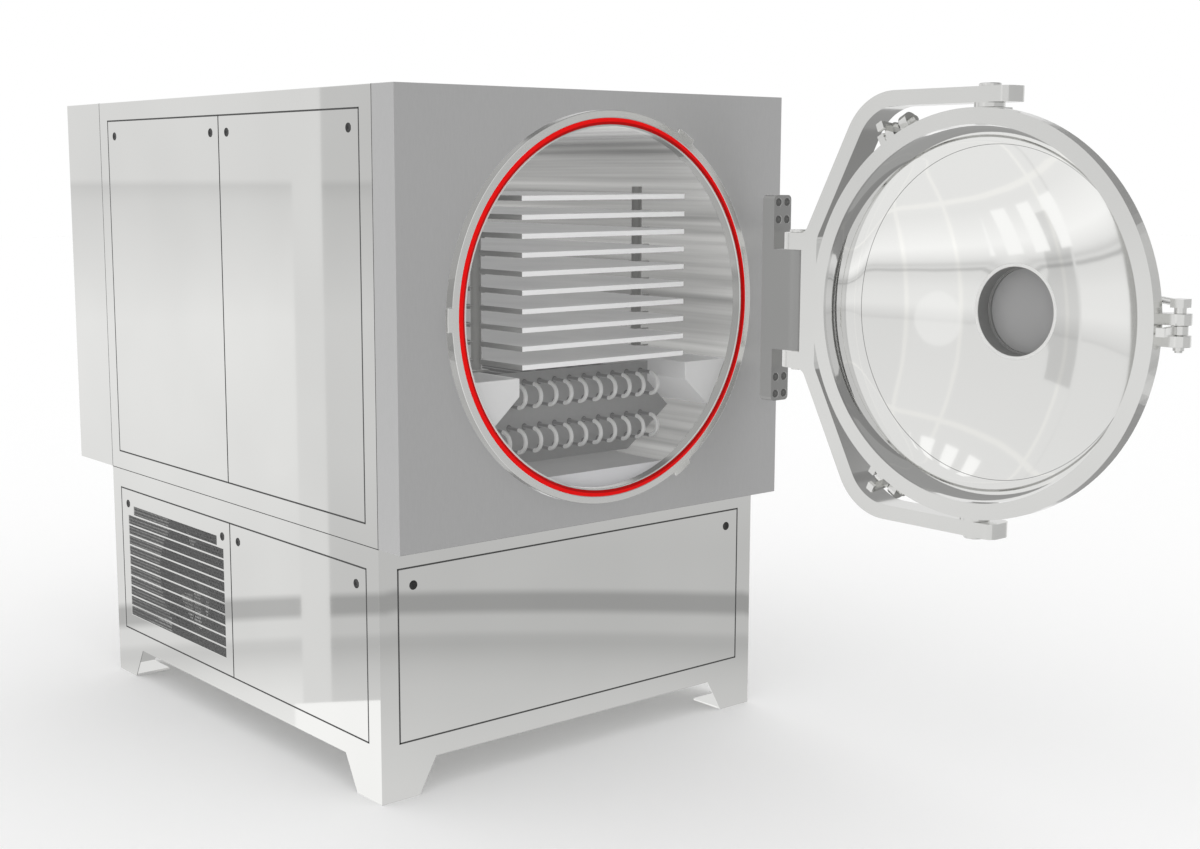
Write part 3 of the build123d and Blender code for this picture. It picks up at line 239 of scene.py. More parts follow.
for name in PANELS:
    low, high, normal, out, surface = panel_face(name)
    along = [i for i in range(3) if i != normal]
    for a, b in (along, along[::-1]):
        for end in (low[b] - GAP / 2, high[b] + GAP / 2):
            place_at, size = [0.0] * 3, [0.0] * 3
            place_at[a], size[a] = (low[a] + high[a]) / 2, high[a] - low[a] + GAP + STRIP
            place_at[b], size[b] = end, STRIP
            place_at[normal] = surface - out * (STRIP_DEEP / 2 - STRIP_PROUD)
            size[normal] = STRIP_DEEP
            bead(place_at, size)
up_low, up_high = (Vector(v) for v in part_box("upper_frame"))
middle = (up_low + up_high) / 2
run = up_high - up_low
for x in (up_low.x, up_high.x):
    bead((x, middle.y, up_low.z), (STRIP_DEEP, run.y, JOINT))
    for y in (up_low.y, up_high.y):
        bead((x, y, middle.z), (STRIP_DEEP, JOINT, run.z))
for y in (base_low.y, base_high.y):
    bead((middle.x, y, up_low.z), (run.x, STRIP_DEEP, JOINT))
for y in (up_low.y, up_high.y):
    bead((middle.x, y, up_high.z), (run.x, JOINT, STRIP_DEEP))
seals = joined(strips, "panel_seal_strips")
bevelled(seals, 0.3, 2)
dress(seals, strip_rubber)
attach(seals, "cabinet")

# ---- panel locks --------------------------------------------------------------------------------
# Quarter-turn locks with a black glass-filled nylon insert, 27 mm across, slightly domed at the rim and
# with a recess for the key.
LOCK_R = 13.5 * MM
LOCK_TALL = 4.0 * MM
LOCK_PROUD = 1.0 * MM
LOCK_IN = 50.0 * MM                        # from the panel's edges to a lock's middle
# the rim, the step down from it, the dished face and the recess for the key: widths and drops in millimetres
LOCK_STEPS = ((1.6, 0.0), (0.5, 0.6), (6.5, 0.0), (0.4, 1.5))
# dull black, with the fine specks of its glass fibres
nylon = mottled("glass_filled_nylon", "#1c1c1c", 0.0, 0.42, 900.0, 0.7, 1.3)
bpy.ops.object.select_all(action="DESELECT")
bpy.ops.mesh.primitive_cylinder_add(
    vertices=40, radius=LOCK_R, depth=LOCK_TALL, location=(0, 0, LOCK_PROUD - LOCK_TALL / 2)
)
lock = bpy.context.object
bpy.ops.object.transform_apply(location=True)
bpy.ops.object.mode_set(mode="EDIT")
bpy.ops.mesh.select_all(action="DESELECT")
bpy.ops.object.mode_set(mode="OBJECT")
for face in lock.data.polygons:
    face.select = face.normal.z > 0.9
bpy.ops.object.mode_set(mode="EDIT")
bpy.ops.mesh.select_mode(type="FACE")
for width, drop in LOCK_STEPS:
    bpy.ops.mesh.inset(thickness=width * MM, depth=-drop * MM)
bpy.ops.mesh.select_mode(type="VERT")
bpy.ops.object.mode_set(mode="OBJECT")
bevelled(lock, 0.4, 2)
lock_mesh = lock.data
bpy.data.objects.remove(lock)
lock_copies = []
for name in PANELS:
    low, high, normal, out, surface = panel_face(name)
    span = 1 if normal == 0 else 0
    facing = Vector((0, 0, 0))
    facing[normal] = out
    turn = facing.to_track_quat("Z", "Y").to_matrix().to_4x4()
    for end in (low[span] + LOCK_IN, high[span] - LOCK_IN):
        spot = Vector((0, 0, high.z - LOCK_IN))
        spot[span] = end
        spot[normal] = surface
        copy = bpy.data.objects.new("lock", lock_mesh.copy())
        bpy.context.scene.collection.objects.link(copy)
        copy.data.transform(Matrix.Translation(spot) @ turn)
        lock_copies.append(copy)
locks = joined(lock_copies, "quarter_turn_locks")
bpy.ops.object.shade_smooth_by_angle(angle=SMOOTH)
dress(locks, nylon)
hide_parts("panel_locks")
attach(locks, "cabinet")

# ---- grille mesh --------------------------------------------------------------------------------
# Expanded steel mesh behind the louvred panel, painted dark grey: diamonds about 22 mm high and 10 mm wide
# between slit strands 3.2 mm wide.
MESH_WIDE = 10.0 * MM
MESH_TALL = 22.0 * MM
STRAND = 3.2 * MM
UPRIGHT = Matrix(((0, 0, -1, 0), (1, 0, 0, 0), (0, 1, 0, 0), (0, 0, 0, 1)))   # a lying grid faces -X
# a dark net that takes a little light on its strands
mesh_paint = mottled("dark_mesh_paint", "#707070", 0.2, 0.5, 120.0, 0.6, 1.3)
low, high = (Vector(v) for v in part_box("grille_mesh"))
middle = (low + high) / 2
across = high.y - low.y
tall = high.z - low.z
cells = int(across / MESH_WIDE) + int(tall / MESH_TALL) + 2
bpy.ops.object.select_all(action="DESELECT")
bpy.ops.mesh.primitive_grid_add(
    x_subdivisions=cells, y_subdivisions=cells, size=cells / math.sqrt(2), rotation=(0, 0, math.radians(45))
)
guard = bpy.context.object
guard.name = "expanded_mesh"
bpy.ops.object.transform_apply(rotation=True)
guard.data.transform(Matrix.Diagonal((MESH_WIDE, MESH_TALL, 1, 1)))
guard.data.transform(Matrix.Translation(middle) @ UPRIGHT)
bpy.ops.object.mode_set(mode="EDIT")
for edge, out in ((low, -1), (high, 1)):
    for way in ((0, out, 0), (0, 0, out)):
        bpy.ops.mesh.select_all(action="SELECT")
        bpy.ops.mesh.bisect(plane_co=edge, plane_no=way, clear_outer=True)
bpy.ops.object.mode_set(mode="OBJECT")
strands = guard.modifiers.new("strands", "WIREFRAME")
strands.thickness = STRAND
strands.use_even_offset = False
bpy.ops.object.modifier_apply(modifier=strands.name)
dress(guard, mesh_paint)
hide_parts("grille_mesh")
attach(guard, "cabinet")

# ---- front fascia -------------------------------------------------------------------------------
# The box round the mouth is the same stainless sheet with a vertical brushed grain, made with an abrasive
# belt before folding. The grain is far below a millimetre and is drawn about 3 mm wide so that it shows.


def brushed(name, color, roughness, across, depth=0.1, tones=(0.9, 1.08), metallic=1.0):
    """Brushed or turned steel: streaks, by how often the grain changes in a metre along X, Y and Z.

    The tones are the darkest and the lightest streak. A metallic under 1 stands for a matt skin, which gives
    back little of the room.
    """
    made, tree, shader, place = finish_of(name, color, metallic, roughness)
    turn = node(tree, "ShaderNodeMapping", [(place, "Vector")], Scale=across)
    grain = node(tree, "ShaderNodeTexNoise", [(turn.outputs["Vector"], "Vector")], Scale=1.0, Detail=3.0)
    two_tones(tree, shader, grain.outputs["Fac"], color, *tones)
    relief(tree, shader, grain.outputs["Fac"], depth, MM)
    return made


# a soft grey without a picture of the room
fascia_steel = brushed("brushed_fascia_sheet", "#cecece", 0.45, (330, 330, 40), 0.05, (0.96, 1.03))
worked_copy("fascia_sheet", "front_fascia", "cabinet", fascia_steel, bevel=1.2)

# ---- vacuum vessel ------------------------------------------------------------------------------
# The vessel is rolled 8 mm stainless plate, ground inside along its length so that it can be washed down.
# Its grain is drawn as long bright and dark streaks into the depth of the chamber, strong enough to stand
# partly for a painted reflection of the room.
# the streaks' wide span of tones, from a tenth to nearly twice the colour, is partly painted reflection
vessel_steel = brushed("ground_vessel_plate", "#c6c6c4", 0.22, (26, 0.5, 26), 0.8, (0.1, 1.75), 0.6)
worked_copy("vessel", "chamber_shell", "cabinet", vessel_steel)

# ---- flange and seal ----------------------------------------------------------------------------
# The mouth's flange is turned from forged stainless, with three lugs for the door's hooks. Its front face is
# painted bright, a painted highlight, and its rim and bore greyer, painted shade. One endless lip seal of
# moulded red silicone sits in its groove.


def painted_highlight_face(made, axis, at, color):
    """Paints a brighter tone on all of a finish that lies below a place along one axis: a painted highlight
    on the face toward the light.
    """
    tree = made.node_tree
    under = tree.nodes["Principled BSDF"].inputs["Base Color"]
    place = node(tree, "ShaderNodeTexCoord").outputs["Object"]
    parts = node(tree, "ShaderNodeSeparateXYZ", [(place, "Vector")])
    side = node(tree, "ShaderNodeMath", [(parts.outputs[axis], 0)], operation="LESS_THAN")
    side.inputs[1].default_value = at
    mix = node(tree, "ShaderNodeMix", [(side.outputs[0], 0)], data_type="RGBA")
    mix.inputs[6].default_value = under.default_value
    if under.links:
        tree.links.new(under.links[0].from_socket, mix.inputs[6])
    mix.inputs[7].default_value = linear(color)
    tree.links.new(mix.outputs[2], under)


# a blurred picture of the room
machined = polished_sheet("turned_stainless", "#a9a9a7", 0.16, 0.02)
# the front 1.5 mm of the flange is painted light, a painted highlight; the grey elsewhere is painted shade
painted_highlight_face(machined, "Y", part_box("chamber_flange")[0][1] + 1.5 * MM, "#e4e4e2")
worked_copy("mouth_flange", "chamber_flange", "cabinet", machined, bevel=1.5)
# almost no gloss, so that the red stays full and even
silicone, tree, shader, place = finish_of("red_silicone", "#e80000", 0.0, 0.5)
shader.inputs["Specular IOR Level"].default_value = 0.12
low, high = (Vector(v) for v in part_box("door_seal"))
seal_centre = (low + high) / 2
seal_r = (high.x - low.x) / 2


def from_axis(tree, place, centre, keep):
    """The distance from an axis through a point, in metres; keep drops the axis' own direction."""
    moved = node(tree, "ShaderNodeVectorMath", [(place, 0)], operation="SUBTRACT")
    moved.inputs[1].default_value = centre
    flat = node(tree, "ShaderNodeVectorMath", [(moved.outputs[0], 0)], operation="MULTIPLY")
    flat.inputs[1].default_value = keep
    return node(tree, "ShaderNodeVectorMath", [(flat.outputs[0], 0)], operation="LENGTH").outputs["Value"]


# the outer half is the soft bead, the inner half the harder lip, which is a deeper red
reach = from_axis(tree, place, seal_centre, (1, 0, 1))
outer = node(tree, "ShaderNodeMapRange", [(reach, "Value")], data_type="FLOAT")
outer.inputs["From Min"].default_value = seal_r - 12 * MM
outer.inputs["From Max"].default_value = seal_r - 10 * MM
skin_grain = node(tree, "ShaderNodeTexNoise", [(place, "Vector")], Scale=260.0)
mottle = node(tree, "ShaderNodeMath", [(skin_grain.outputs["Fac"], 0), (outer.outputs["Result"], 2)])
mottle.operation = "MULTIPLY_ADD"
mottle.inputs[1].default_value = 0.1
two_tones(tree, shader, mottle.outputs[0], "#e80000", 0.5, 1.0)
worked_copy("lip_seal", "door_seal", "cabinet", silicone, bevel=0.8)

# ---- shelves ------------------------------------------------------------------------------------
# Ten hollow plates of ground stainless, 15 mm thick and flat to a tenth of a millimetre, rest on the supports
# of the posts. Their tops show grey with a broken grain, and their front faces are painted bright: a painted
# highlight.
shelf_steel = brushed("ground_shelf_plate", "#9c9c9b", 0.3, (5, 3, 30), 0.1, (0.4, 1.5), 0.15)
# the front 0.2 mm of every shelf is painted light: a painted highlight
painted_highlight_face(shelf_steel, "Y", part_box("shelf_01")[0][1] + 0.2 * MM, "#ededed")
for i in range(10):
    number = f"{i + 1:02d}"
    worked_copy(f"shelf_plate_{number}", f"shelf_{number}", "cabinet", shelf_steel, bevel=0.8)

# ---- shelf posts --------------------------------------------------------------------------------
# Each post is a 32 mm round bar of stainless with a foot, a support under every shelf and a clip at its
# outer side. It is turned and left satin, a quiet grey that hides the room.
post_steel = brushed("satin_post", "#9a9a98", 0.35, (60, 60, 4), 0.1, (0.9, 1.08), 0.3)
worked_copy("rack_posts", "shelf_posts", "cabinet", post_steel, bevel=0.6)
POST_R = 16.1 * MM
POST_FOOT_END = 47.0 * MM                  # end of the posts' box to the middle of a post, along X
POST_END = 25.0 * MM                       # and along Y
low, high = (Vector(v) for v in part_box("shelf_posts"))
bars = []
for x in (low.x + POST_FOOT_END, high.x - POST_FOOT_END):
    for y in (low.y + POST_END, high.y - POST_END):
        bpy.ops.object.select_all(action="DESELECT")
        bpy.ops.mesh.primitive_cylinder_add(
            vertices=40, radius=POST_R, depth=high.z - low.z, location=(x, y, (low.z + high.z) / 2)
        )
        bpy.ops.object.transform_apply(location=True)
        bars.append(bpy.context.object)
rods = joined(bars, "round_post_bars")
bevelled(rods, 1.0, 2)
bpy.ops.object.shade_smooth_by_angle(angle=SMOOTH)
dress(rods, post_steel)
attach(rods, "cabinet")

# ---- condenser ----------------------------------------------------------------------------------
# Twenty-two hairpins of 12 mm stainless tube pass through a matt tube sheet. Each is bent round a former and
# welded to the sheet with a small collar. The bends are painted light, a painted highlight, and the legs dark
# grey, painted shade.
TUBE_R = 6.0 * MM
BEND_R = 33.0 * MM
COLLAR_R = 10.0 * MM
HAIRPINS = 11                              # in a row
low, high = (Vector(v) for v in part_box("condenser_coil"))
sheet_low = Vector(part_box("condenser_tube_sheet")[0])
bend_y = low.y + BEND_R + TUBE_R
rows = (high.z - TUBE_R - BEND_R, low.z + TUBE_R + BEND_R)
column_step = (high.x - low.x - 2 * TUBE_R) / (HAIRPINS - 1)
# painted highlight on the bends and painted shade on the legs, which lie back in the chamber
tube_steel = brushed("drawn_tube", "#7c7c7c", 0.3, (150, 150, 150), 0.1, (0.9, 1.08), 0.3)


def hairpin(x, z):
    """One tube: a ring of the tube's size is spun round the bend and its two ends are drawn back."""
    bpy.ops.object.select_all(action="DESELECT")
    bpy.ops.mesh.primitive_circle_add(
        vertices=14, radius=TUBE_R, location=(x, bend_y, z + BEND_R), rotation=(math.pi / 2, 0, 0)
    )
    tube = bpy.context.object
    bpy.ops.object.transform_apply(location=True, rotation=True)
    bpy.ops.object.mode_set(mode="EDIT")
    bpy.ops.mesh.select_all(action="SELECT")
    bpy.ops.mesh.spin(steps=14, angle=-math.pi, center=(x, bend_y, z), axis=(1, 0, 0))
    bpy.ops.mesh.extrude_region_move(TRANSFORM_OT_translate={"value": (0, high.y - bend_y, 0)})
    bpy.ops.object.mode_set(mode="OBJECT")
    points = tube.data.vertices
    for kind in (points, tube.data.edges, tube.data.polygons):
        for item in kind:
            item.select = False
    for edge in tube.data.edges:
        ends = [points[v] for v in edge.vertices]
        edge.select = all(abs(end.co.y - bend_y) < 0.01 * MM and end.co.z > z for end in ends)
        if edge.select:
            for end in ends:
                end.select = True
    bpy.ops.object.mode_set(mode="EDIT")
    bpy.ops.mesh.extrude_region_move(TRANSFORM_OT_translate={"value": (0, high.y - bend_y, 0)})
    bpy.ops.mesh.select_all(action="SELECT")
    bpy.ops.mesh.normals_make_consistent(inside=False)
    bpy.ops.object.mode_set(mode="OBJECT")
    return tube


def collar(x, z):
    """The weld collar round a tube where it meets the sheet."""
    bpy.ops.object.select_all(action="DESELECT")
    bpy.ops.mesh.primitive_torus_add(
        location=(x, sheet_low.y - 1 * MM, z), rotation=(math.pi / 2, 0, 0),
        major_segments=20, minor_segments=8,
        major_radius=(TUBE_R + COLLAR_R) / 2, minor_radius=(COLLAR_R - TUBE_R) / 2,
    )
    bpy.ops.object.transform_apply(location=True, rotation=True)
    return bpy.context.object


# the bends in front are painted bright: a painted highlight
painted_highlight_face(tube_steel, "Y", bend_y, "#d0d0cf")
tubes = []
for row in rows:
    for i in range(HAIRPINS):
        x = low.x + TUBE_R + i * column_step
        tubes.append(hairpin(x, row))
        tubes += [collar(x, row + BEND_R), collar(x, row - BEND_R)]
coil = joined(tubes, "hairpin_coil")
bpy.ops.object.shade_smooth_by_angle(angle=SMOOTH_SPUN)
dress(coil, tube_steel)
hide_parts("condenser_coil")
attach(coil, "cabinet")
# a flat matt grey behind the bright bends
plate_steel = brushed("pickled_tube_sheet", "#a6a6a6", 0.5, (60, 60, 60), 0.1, (0.95, 1.04), 0.15)
worked_copy("tube_sheet", "condenser_tube_sheet", "cabinet", plate_steel, bevel=0.8)

# ---- troughs and tray ---------------------------------------------------------------------------
# The troughs are folded and welded from 6 mm plate, a light and nearly even grey. The tray is a false floor
# of 4 mm plate, dark on its wet ground top, with its front edge painted bright: a painted highlight.
trough_steel = brushed("folded_plate", "#dadada", 0.3, (8, 8, 8), 0.1, (0.95, 1.03), 0.2)
worked_copy("trough_left", "left_trough", "cabinet", trough_steel, bevel=1.0)
worked_copy("trough_right", "right_trough", "cabinet", trough_steel, bevel=1.0)
# a mottled dark grey
tray_steel = brushed("wet_ground_tray", "#6f6f6f", 0.35, (8, 8, 8), 0.1, (0.75, 1.2), 0.2)
# the front 1 mm of the tray is painted light: a painted highlight
painted_highlight_face(tray_steel, "Y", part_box("drain_tray")[0][1] + 1.0 * MM, "#d2d2d4")
worked_copy("floor_tray", "drain_tray", "cabinet", tray_steel, bevel=0.8)

# ---- hinge --------------------------------------------------------------------------------------
# The bracket is machined from solid stainless and bead-blasted, which gives an even sheen without a picture
# of the room. Eight cap screws in counterbores hold it to the front of the cabinet.
blasted = polished_sheet("bead_blasted_bracket", "#a6a6a5", 0.38, 0.0)
worked_copy("hinge_block", "hinge_bracket", "cabinet", blasted, bevel=3.0, steps=3)
# darker than the block, so that the screws stand out
screw_steel = polished_sheet("dark_cap_screw", "#6c6c6b", 0.3, 0.0)
worked_copy("hinge_cap_screws", "bracket_screws", "cabinet", screw_steel, bevel=0.8)

# ---- yoke ---------------------------------------------------------------------------------------
# The fork is cast stainless, milled on its faces and polished. It shows a blurred picture of the room, with
# soft lights along its eased edges. A headed pin carries it on the bracket, and two more pins with washers
# carry the door between its arms.
cast = polished_sheet("polished_casting", "#e2e2e0", 0.16, 0.03)
worked_copy("yoke_fork", "yoke", "yoke", cast, bevel=2.5, steps=3)
worked_copy("hinge_pin_bar", "hinge_pin", "yoke", cast, bevel=0.8)
worked_copy("pivot_pin_bars", "pivot_pins", "yoke", cast, bevel=0.8)
worked_copy("pivot_washer_rings", "pivot_washers", "yoke", cast, bevel=1.2)

# ---- door ---------------------------------------------------------------------------------------
# A forged ring, turned and polished, carries the dished head, which is spun from 8 mm plate and
# mirror-polished by hand. A fine line is scribed where its crown meets the knuckle.
worked_copy("door_rim", "door_ring", "door", cast, bevel=1.5)
# a nearly sharp picture of the room, bent by the dish
mirror, tree, shader, place = finish_of("mirror_polished_head", "#e9e9e7", 1.0, 0.06)
swirl = node(tree, "ShaderNodeTexNoise", [(place, "Vector")], Scale=1 / 0.12, Detail=1.0)
relief(tree, shader, swirl.outputs["Fac"], 0.02, 10 * MM)
CROWN = 1000 * MM                          # inner radius of the crown
KNUCKLE = 100 * MM                         # and of the knuckle
WALL = 8 * MM
STRAIGHT = 15 * MM                         # straight edge below the knuckle
PORT = 139 * MM                            # radius of the hole for the sight port
HEAD_STEPS = 16                            # rings over the crown, and as many over the knuckle
low, high = (Vector(v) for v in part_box("door_head"))
bore = (high.y - low.y) / 2 - WALL
lean = math.asin((bore - KNUCKLE) / (CROWN - KNUCKLE))
head_centre = Vector((low.x, (low.y + high.y) / 2, (low.z + high.z) / 2))
reach = from_axis(tree, place, head_centre, (0, 1, 1))
line = node(tree, "ShaderNodeMath", [(reach, 0)], operation="COMPARE")
line.inputs[1].default_value = CROWN * math.sin(lean)
line.inputs[2].default_value = 0.8 * MM
two_tones(tree, shader, line.outputs[0], "#ececea", 1.0, 0.35)
crown_low = STRAIGHT - (CROWN - KNUCKLE) * math.cos(lean)


def head_ring(t, wall):
    """Radius and height of the dish from its port (0) over the knuckle's start (1) to its rim (2)."""
    if t <= 1:
        start = math.asin(PORT / CROWN)
        angle = start + t * (lean - start)
        return (CROWN + wall) * math.sin(angle), crown_low + (CROWN + wall) * math.cos(angle)
    angle = lean + (t - 1) * (math.pi / 2 - lean)
    out = (KNUCKLE + wall) * math.sin(angle)
    return bore - KNUCKLE + out, STRAIGHT + (KNUCKLE + wall) * math.cos(angle)


inside = [head_ring(i / HEAD_STEPS, 0.0) for i in range(2 * HEAD_STEPS + 1)]
outside = [head_ring(i / HEAD_STEPS, WALL) for i in range(2 * HEAD_STEPS, -1, -1)]
rings = inside + [(bore, 0.0), (bore + WALL, 0.0)] + outside
bpy.ops.object.select_all(action="DESELECT")
bpy.ops.mesh.primitive_circle_add(vertices=128, radius=rings[0][0])
head = bpy.context.object
head.name = "dished_head"
bpy.ops.object.mode_set(mode="EDIT")
bpy.ops.mesh.select_all(action="SELECT")
bpy.ops.transform.translate(value=(0, 0, rings[0][1]))
for (r0, z0), (r1, z1) in zip(rings, rings[1:]):
    bpy.ops.mesh.extrude_region_move(TRANSFORM_OT_translate={"value": (0, 0, z1 - z0)})
    bpy.ops.transform.resize(value=(r1 / r0, r1 / r0, 1))
bpy.ops.mesh.select_all(action="SELECT")
bpy.ops.mesh.remove_doubles(threshold=0.05 * MM)
bpy.ops.mesh.normals_make_consistent(inside=False)
bpy.ops.object.mode_set(mode="OBJECT")
head.data.transform(Matrix.Translation(head_centre) @ Matrix.Rotation(math.pi / 2, 4, "Y"))
bpy.ops.object.shade_smooth_by_angle(angle=SMOOTH_SPUN)
dress(head, mirror)
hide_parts("door_head")
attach(head, "door")

# ---- sight port ---------------------------------------------------------------------------------
# A stepped tube through the crown holds a 15 mm disc of toughened borosilicate glass under a bolted ring. The
# tube is turned stainless, grey inside, which is painted shade of the bore, and its front rim is painted
# bright:
# a painted highlight.
turned_bore = brushed("turned_port_bore", "#989897", 0.35, (40, 40, 40), 0.1, (0.9, 1.05), 0.3)
# the front 2.5 mm of the port tube is painted bright: a painted highlight
painted_highlight_face(turned_bore, "X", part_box("sight_port_tube")[0][0] + 2.5 * MM, "#f4f4f2")
worked_copy("port_tube", "sight_port_tube", "door", turned_bore, bevel=1.0)
worked_copy("port_ring", "sight_clamp_ring", "door", cast, bevel=1.2)
worked_copy("port_screws", "sight_screws", "door", screw_steel, bevel=0.8)
# an even light grey, as thick glass shows against a pale room
pane = mottled("borosilicate_pane", "#acacac", 0.0, 0.3, 9.0, 0.96, 1.04)
worked_copy("port_glass", "sight_glass", "door", pane, bevel=1.0)

# ---- clamps -------------------------------------------------------------------------------------
# Three swing hooks turn on pins that are fixed between pairs of ears. On the end of each pin turns a handle:
# a collar, a square block and a round bar.
worked_copy("clamp_ears", "clamp_brackets", "door", cast, bevel=1.5)
for i in (1, 2, 3):
    worked_copy(f"hook_{i}", f"clamp_hook_{i}", f"hook_{i}", cast, bevel=1.5)
    worked_copy(f"lever_{i}", f"clamp_lever_{i}", f"lever_{i}", cast, bevel=1.2)

# ---- machines in the base -----------------------------------------------------------------------
# The refrigeration set and the pumps stand on the floor pan, in black and grey stove enamel with soft lights.
# The fan is moulded nylon, and the condenser that it cools is a block of aluminium fins.
enamel = mottled("black_stove_enamel", "#232323", 0.0, 0.4, 180.0, 0.85, 1.15)
worked_copy("compressor_shell", "compressor", "cabinet", enamel, bevel=3.0)
worked_copy("fan_motor_unit", "fan_motor", "cabinet", enamel, bevel=1.0)
worked_copy("fan_blades", "fan_rotor", "fan", nylon, bevel=0.8)
grey = mottled("grey_stove_enamel", "#5c6165", 0.0, 0.45, 180.0, 0.92, 1.08)
worked_copy("vacuum_pump_body", "vacuum_pump", "cabinet", grey, bevel=3.0)
worked_copy("circulation_pump_body", "circulation_pump", "cabinet", grey, bevel=2.0)
# bare aluminium fins, their grey darkened as painted shade of the closed base behind the grille
fins = brushed("aluminium_fin_stock", "#8f8f8f", 0.5, (90, 90, 90), 0.1, (0.9, 1.08), 0.4)
worked_copy("condenser_block", "air_condenser", "cabinet", fins, bevel=0.4, steps=1)

# ---- floor, light and camera --------------------------------------------------------------------
# A plain pale floor and an even studio. Metal sees a pale room: a lighter ceiling with panels, a skirting
# band and soft uprights, so that polished faces are not blank.
bpy.ops.object.select_all(action="DESELECT")
bpy.ops.mesh.primitive_plane_add(size=80, location=(0, 0, 0))
floor = bpy.context.object
floor.name = "studio_floor"
paint, tree, shader, place = finish_of("floor_paint", "#ffffff", 0.0, 0.9)
shader.inputs["Specular IOR Level"].default_value = 0.0
floor.data.materials.append(paint)
floor.visible_glossy = False

world = bpy.data.worlds.new("studio")
bpy.context.scene.world = world
world.use_nodes = True
sky = world.node_tree
path = node(sky, "ShaderNodeLightPath")
view = node(sky, "ShaderNodeTexCoord").outputs["Generated"]
split = node(sky, "ShaderNodeSeparateXYZ", [(view, "Vector")])


def math_node(kind, *terms):
    """A math node in the world, fed by sockets or plain numbers."""
    made = node(sky, "ShaderNodeMath", operation=kind)
    for i, term in enumerate(terms):
        if isinstance(term, (int, float)):
            made.inputs[i].default_value = term
        else:
            sky.links.new(term, made.inputs[i])
    return made.outputs[0]


def within(value, low_end, high_end):
    """1 where the value lies between two ends, else 0."""
    above = math_node("GREATER_THAN", value, low_end)
    return math_node("MULTIPLY", above, math_node("LESS_THAN", value, high_end))


def grey_ramp(factor, stops):
    """A grey ramp from a list of places and tones."""
    ramp = node(sky, "ShaderNodeValToRGB", [(factor, "Fac")])
    for i, (at, tone) in enumerate(stops):
        stop = ramp.color_ramp.elements[i] if i < 2 else ramp.color_ramp.elements.new(at)
        stop.position = at
        stop.color = (tone, tone, tone, 1)
    return ramp.outputs["Color"]


rise = math_node("DEGREES", math_node("ARCSINE", split.outputs["Z"]))
turn = math_node("DEGREES", math_node("ARCTAN2", split.outputs["Y"], split.outputs["X"]))
# tones from 30 degrees below the horizon (0) to 30 above it (1)
height = math_node("DIVIDE", math_node("ADD", rise, 30.0), 60.0)
wall = [(0.0, 0.95), (0.15, 1.1), (0.187, 1.0), (0.207, 0.93), (0.218, 0.86), (0.23, 0.72)]   # floor
wall += [(0.2342, 0.7), (0.235, 0.84), (0.2475, 0.84), (0.2483, 0.55), (0.26, 0.55)]          # skirting
wall += [(0.2608, 0.86), (0.2833, 0.86), (0.333, 0.93), (0.417, 0.96), (0.483, 0.8)]          # wall
wall += [(0.4933, 0.72), (0.4942, 0.84), (1.0, 0.88)]                                         # above it
bands = grey_ramp(height, wall)
# a pale upright, and the darker bay beside it
upright = within(turn, 120.3, 121.3)
bay = math_node("MULTIPLY", within(turn, 121.3, 132.0), within(rise, -26.0, 9.0))
front_wall = within(turn, -110.0, -20.0)
shade = math_node("ADD", math_node("MULTIPLY", bay, 0.22), math_node("MULTIPLY", front_wall, 0.28))
# the room is dim high above and far below on the hinge side
steep = math_node("GREATER_THAN", math_node("ABSOLUTE", rise), 24.0)
steep = math_node("MULTIPLY", steep, within(turn, -60.0, 70.0))
shade = math_node("ADD", shade, math_node("MULTIPLY", steep, 0.6))
dim = math_node("MAXIMUM", math_node("SUBTRACT", 1.0, shade), 0.3)
sides = node(sky, "ShaderNodeMix", [(bands, 6), (dim, 7)], data_type="RGBA", blend_type="MULTIPLY")
sides.inputs[0].default_value = 1.0
uprights = node(sky, "ShaderNodeMix", [(upright, 0), (sides.outputs[2], 6)], data_type="RGBA")
uprights.inputs[7].default_value = (0.84, 0.84, 0.84, 1)
# large wall panels between pale frames
flat = node(sky, "ShaderNodeCombineXYZ", [
    (math_node("ADD", turn, 26.0), "X"), (math_node("ADD", rise, 33.0), "Y"),
])
frames = node(sky, "ShaderNodeTexBrick", [(flat.outputs[0], "Vector")], Scale=1.0, offset=0.0)
frames.inputs["Brick Width"].default_value = 38.0
frames.inputs["Row Height"].default_value = 59.5
frames.inputs["Mortar Size"].default_value = 0.7
frames.inputs["Mortar Smooth"].default_value = 0.05
frames.inputs["Color1"].default_value = (1.0, 1.0, 1.0, 1)
frames.inputs["Color2"].default_value = (0.96, 0.96, 0.96, 1)
frames.inputs["Mortar"].default_value = (1.08, 1.075, 1.06, 1)
framed = [(frames.outputs["Color"], 7), (uprights.outputs[2], 6)]
room = node(sky, "ShaderNodeMix", framed, data_type="RGBA", blend_type="MULTIPLY")
room.inputs[0].default_value = 1.0
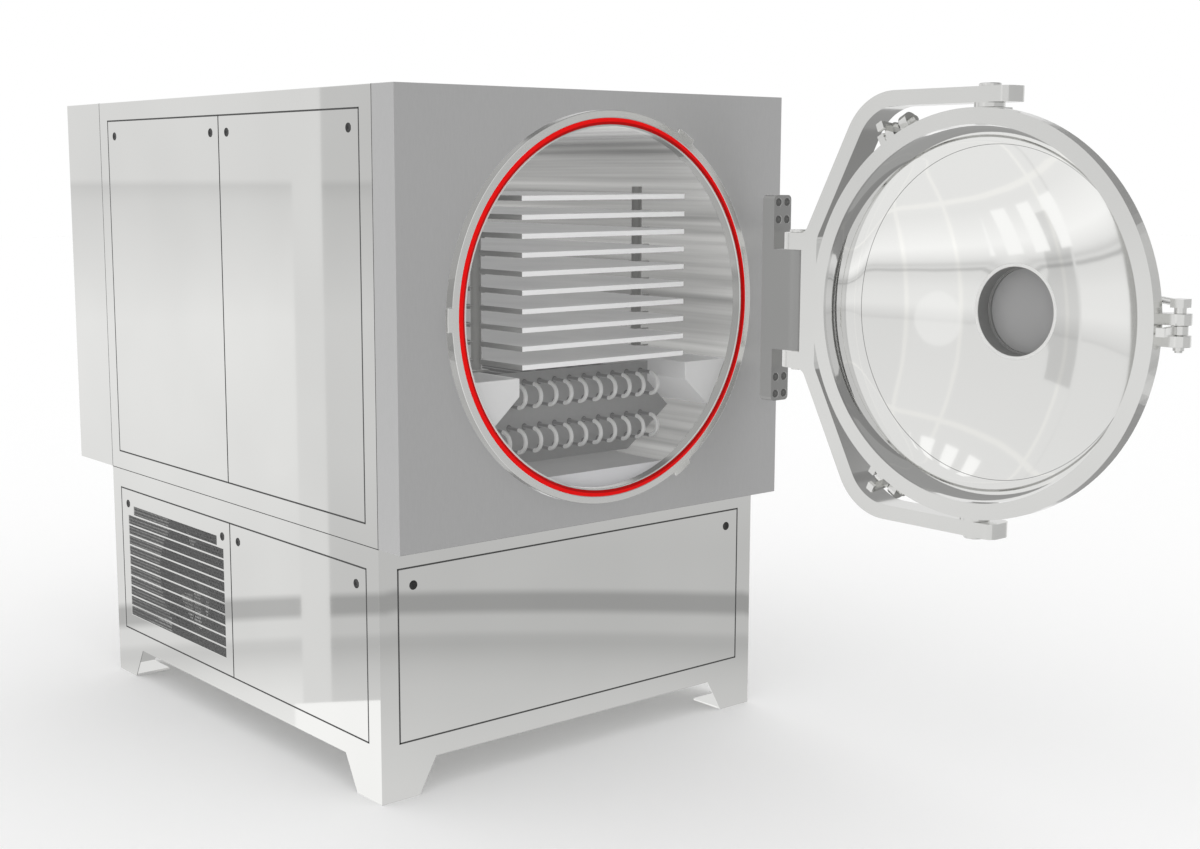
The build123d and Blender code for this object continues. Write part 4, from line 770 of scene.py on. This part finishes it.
# slanted window strips high on the wall, again in the polished floor, and a round lamp
slant = math_node("ADD", math_node("DIVIDE", turn, 10.5), math_node("DIVIDE", rise, 60.0))
strip = math_node("LESS_THAN", math_node("FRACT", slant), 0.55)
high_row = math_node("MULTIPLY", within(turn, 140.0, 173.0), within(rise, 32.0, 46.0))
low_row = math_node("MULTIPLY", within(turn, 120.0, 152.0), within(rise, -29.0, -18.0))
windows = math_node("MULTIPLY", strip, math_node("ADD", high_row, low_row))
aside = math_node("SUBTRACT", turn, 171.5)
above = math_node("ADD", rise, 1.0)
spread = math_node("ADD", math_node("MULTIPLY", aside, aside), math_node("MULTIPLY", above, above))
lamp = math_node("LESS_THAN", spread, 60.0)
windows = math_node("MAXIMUM", windows, math_node("MULTIPLY", lamp, 0.35))
lit = node(sky, "ShaderNodeMix", [(windows, 0), (room.outputs[2], 6)], data_type="RGBA")
lit.inputs[7].default_value = (1.12, 1.12, 1.12, 1)
# only gloss sees the room; the eye and the soft light see plain white
glossy = [(path.outputs["Is Glossy Ray"], 0), (lit.outputs[2], 7)]
pick = node(sky, "ShaderNodeMix", glossy, data_type="RGBA")
pick.inputs[6].default_value = (1, 1, 1, 1)
sky.links.new(pick.outputs[2], sky.nodes["Background"].inputs["Color"])

SHIFT = Vector((-0.838018, -0.208, 0.0))   # from the dryer's own corner to the shared frame, in metres
lens = bpy.data.cameras.new("camera")
lens.lens = 49.735
lens.sensor_width = 36.0
lens.shift_x = 0.03475
lens.shift_y = -0.0115
lens.clip_end = 200.0
camera = bpy.data.objects.new("camera", lens)
bpy.context.scene.collection.objects.link(camera)
camera.location = Vector((-2.4473, -3.7667, 1.7684)) + SHIFT
camera.rotation_euler = (math.radians(90 - 8.201), 0.0, math.radians(-39.354))
bpy.context.scene.camera = camera
bpy.context.scene.view_settings.view_transform = "Standard"

# Polished faces show the plain room: the cabinet, what it carries, the head and the bare CAD forms stay out
# of the reflections, where the shelves and the machines would break up the mirror of the open door.
for piece in bpy.context.scene.objects:
    still = piece.get("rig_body") in ("cabinet", "fan") or piece == head
    if piece.type == "MESH" and (piece.name in nodes or still):
        piece.visible_glossy = False
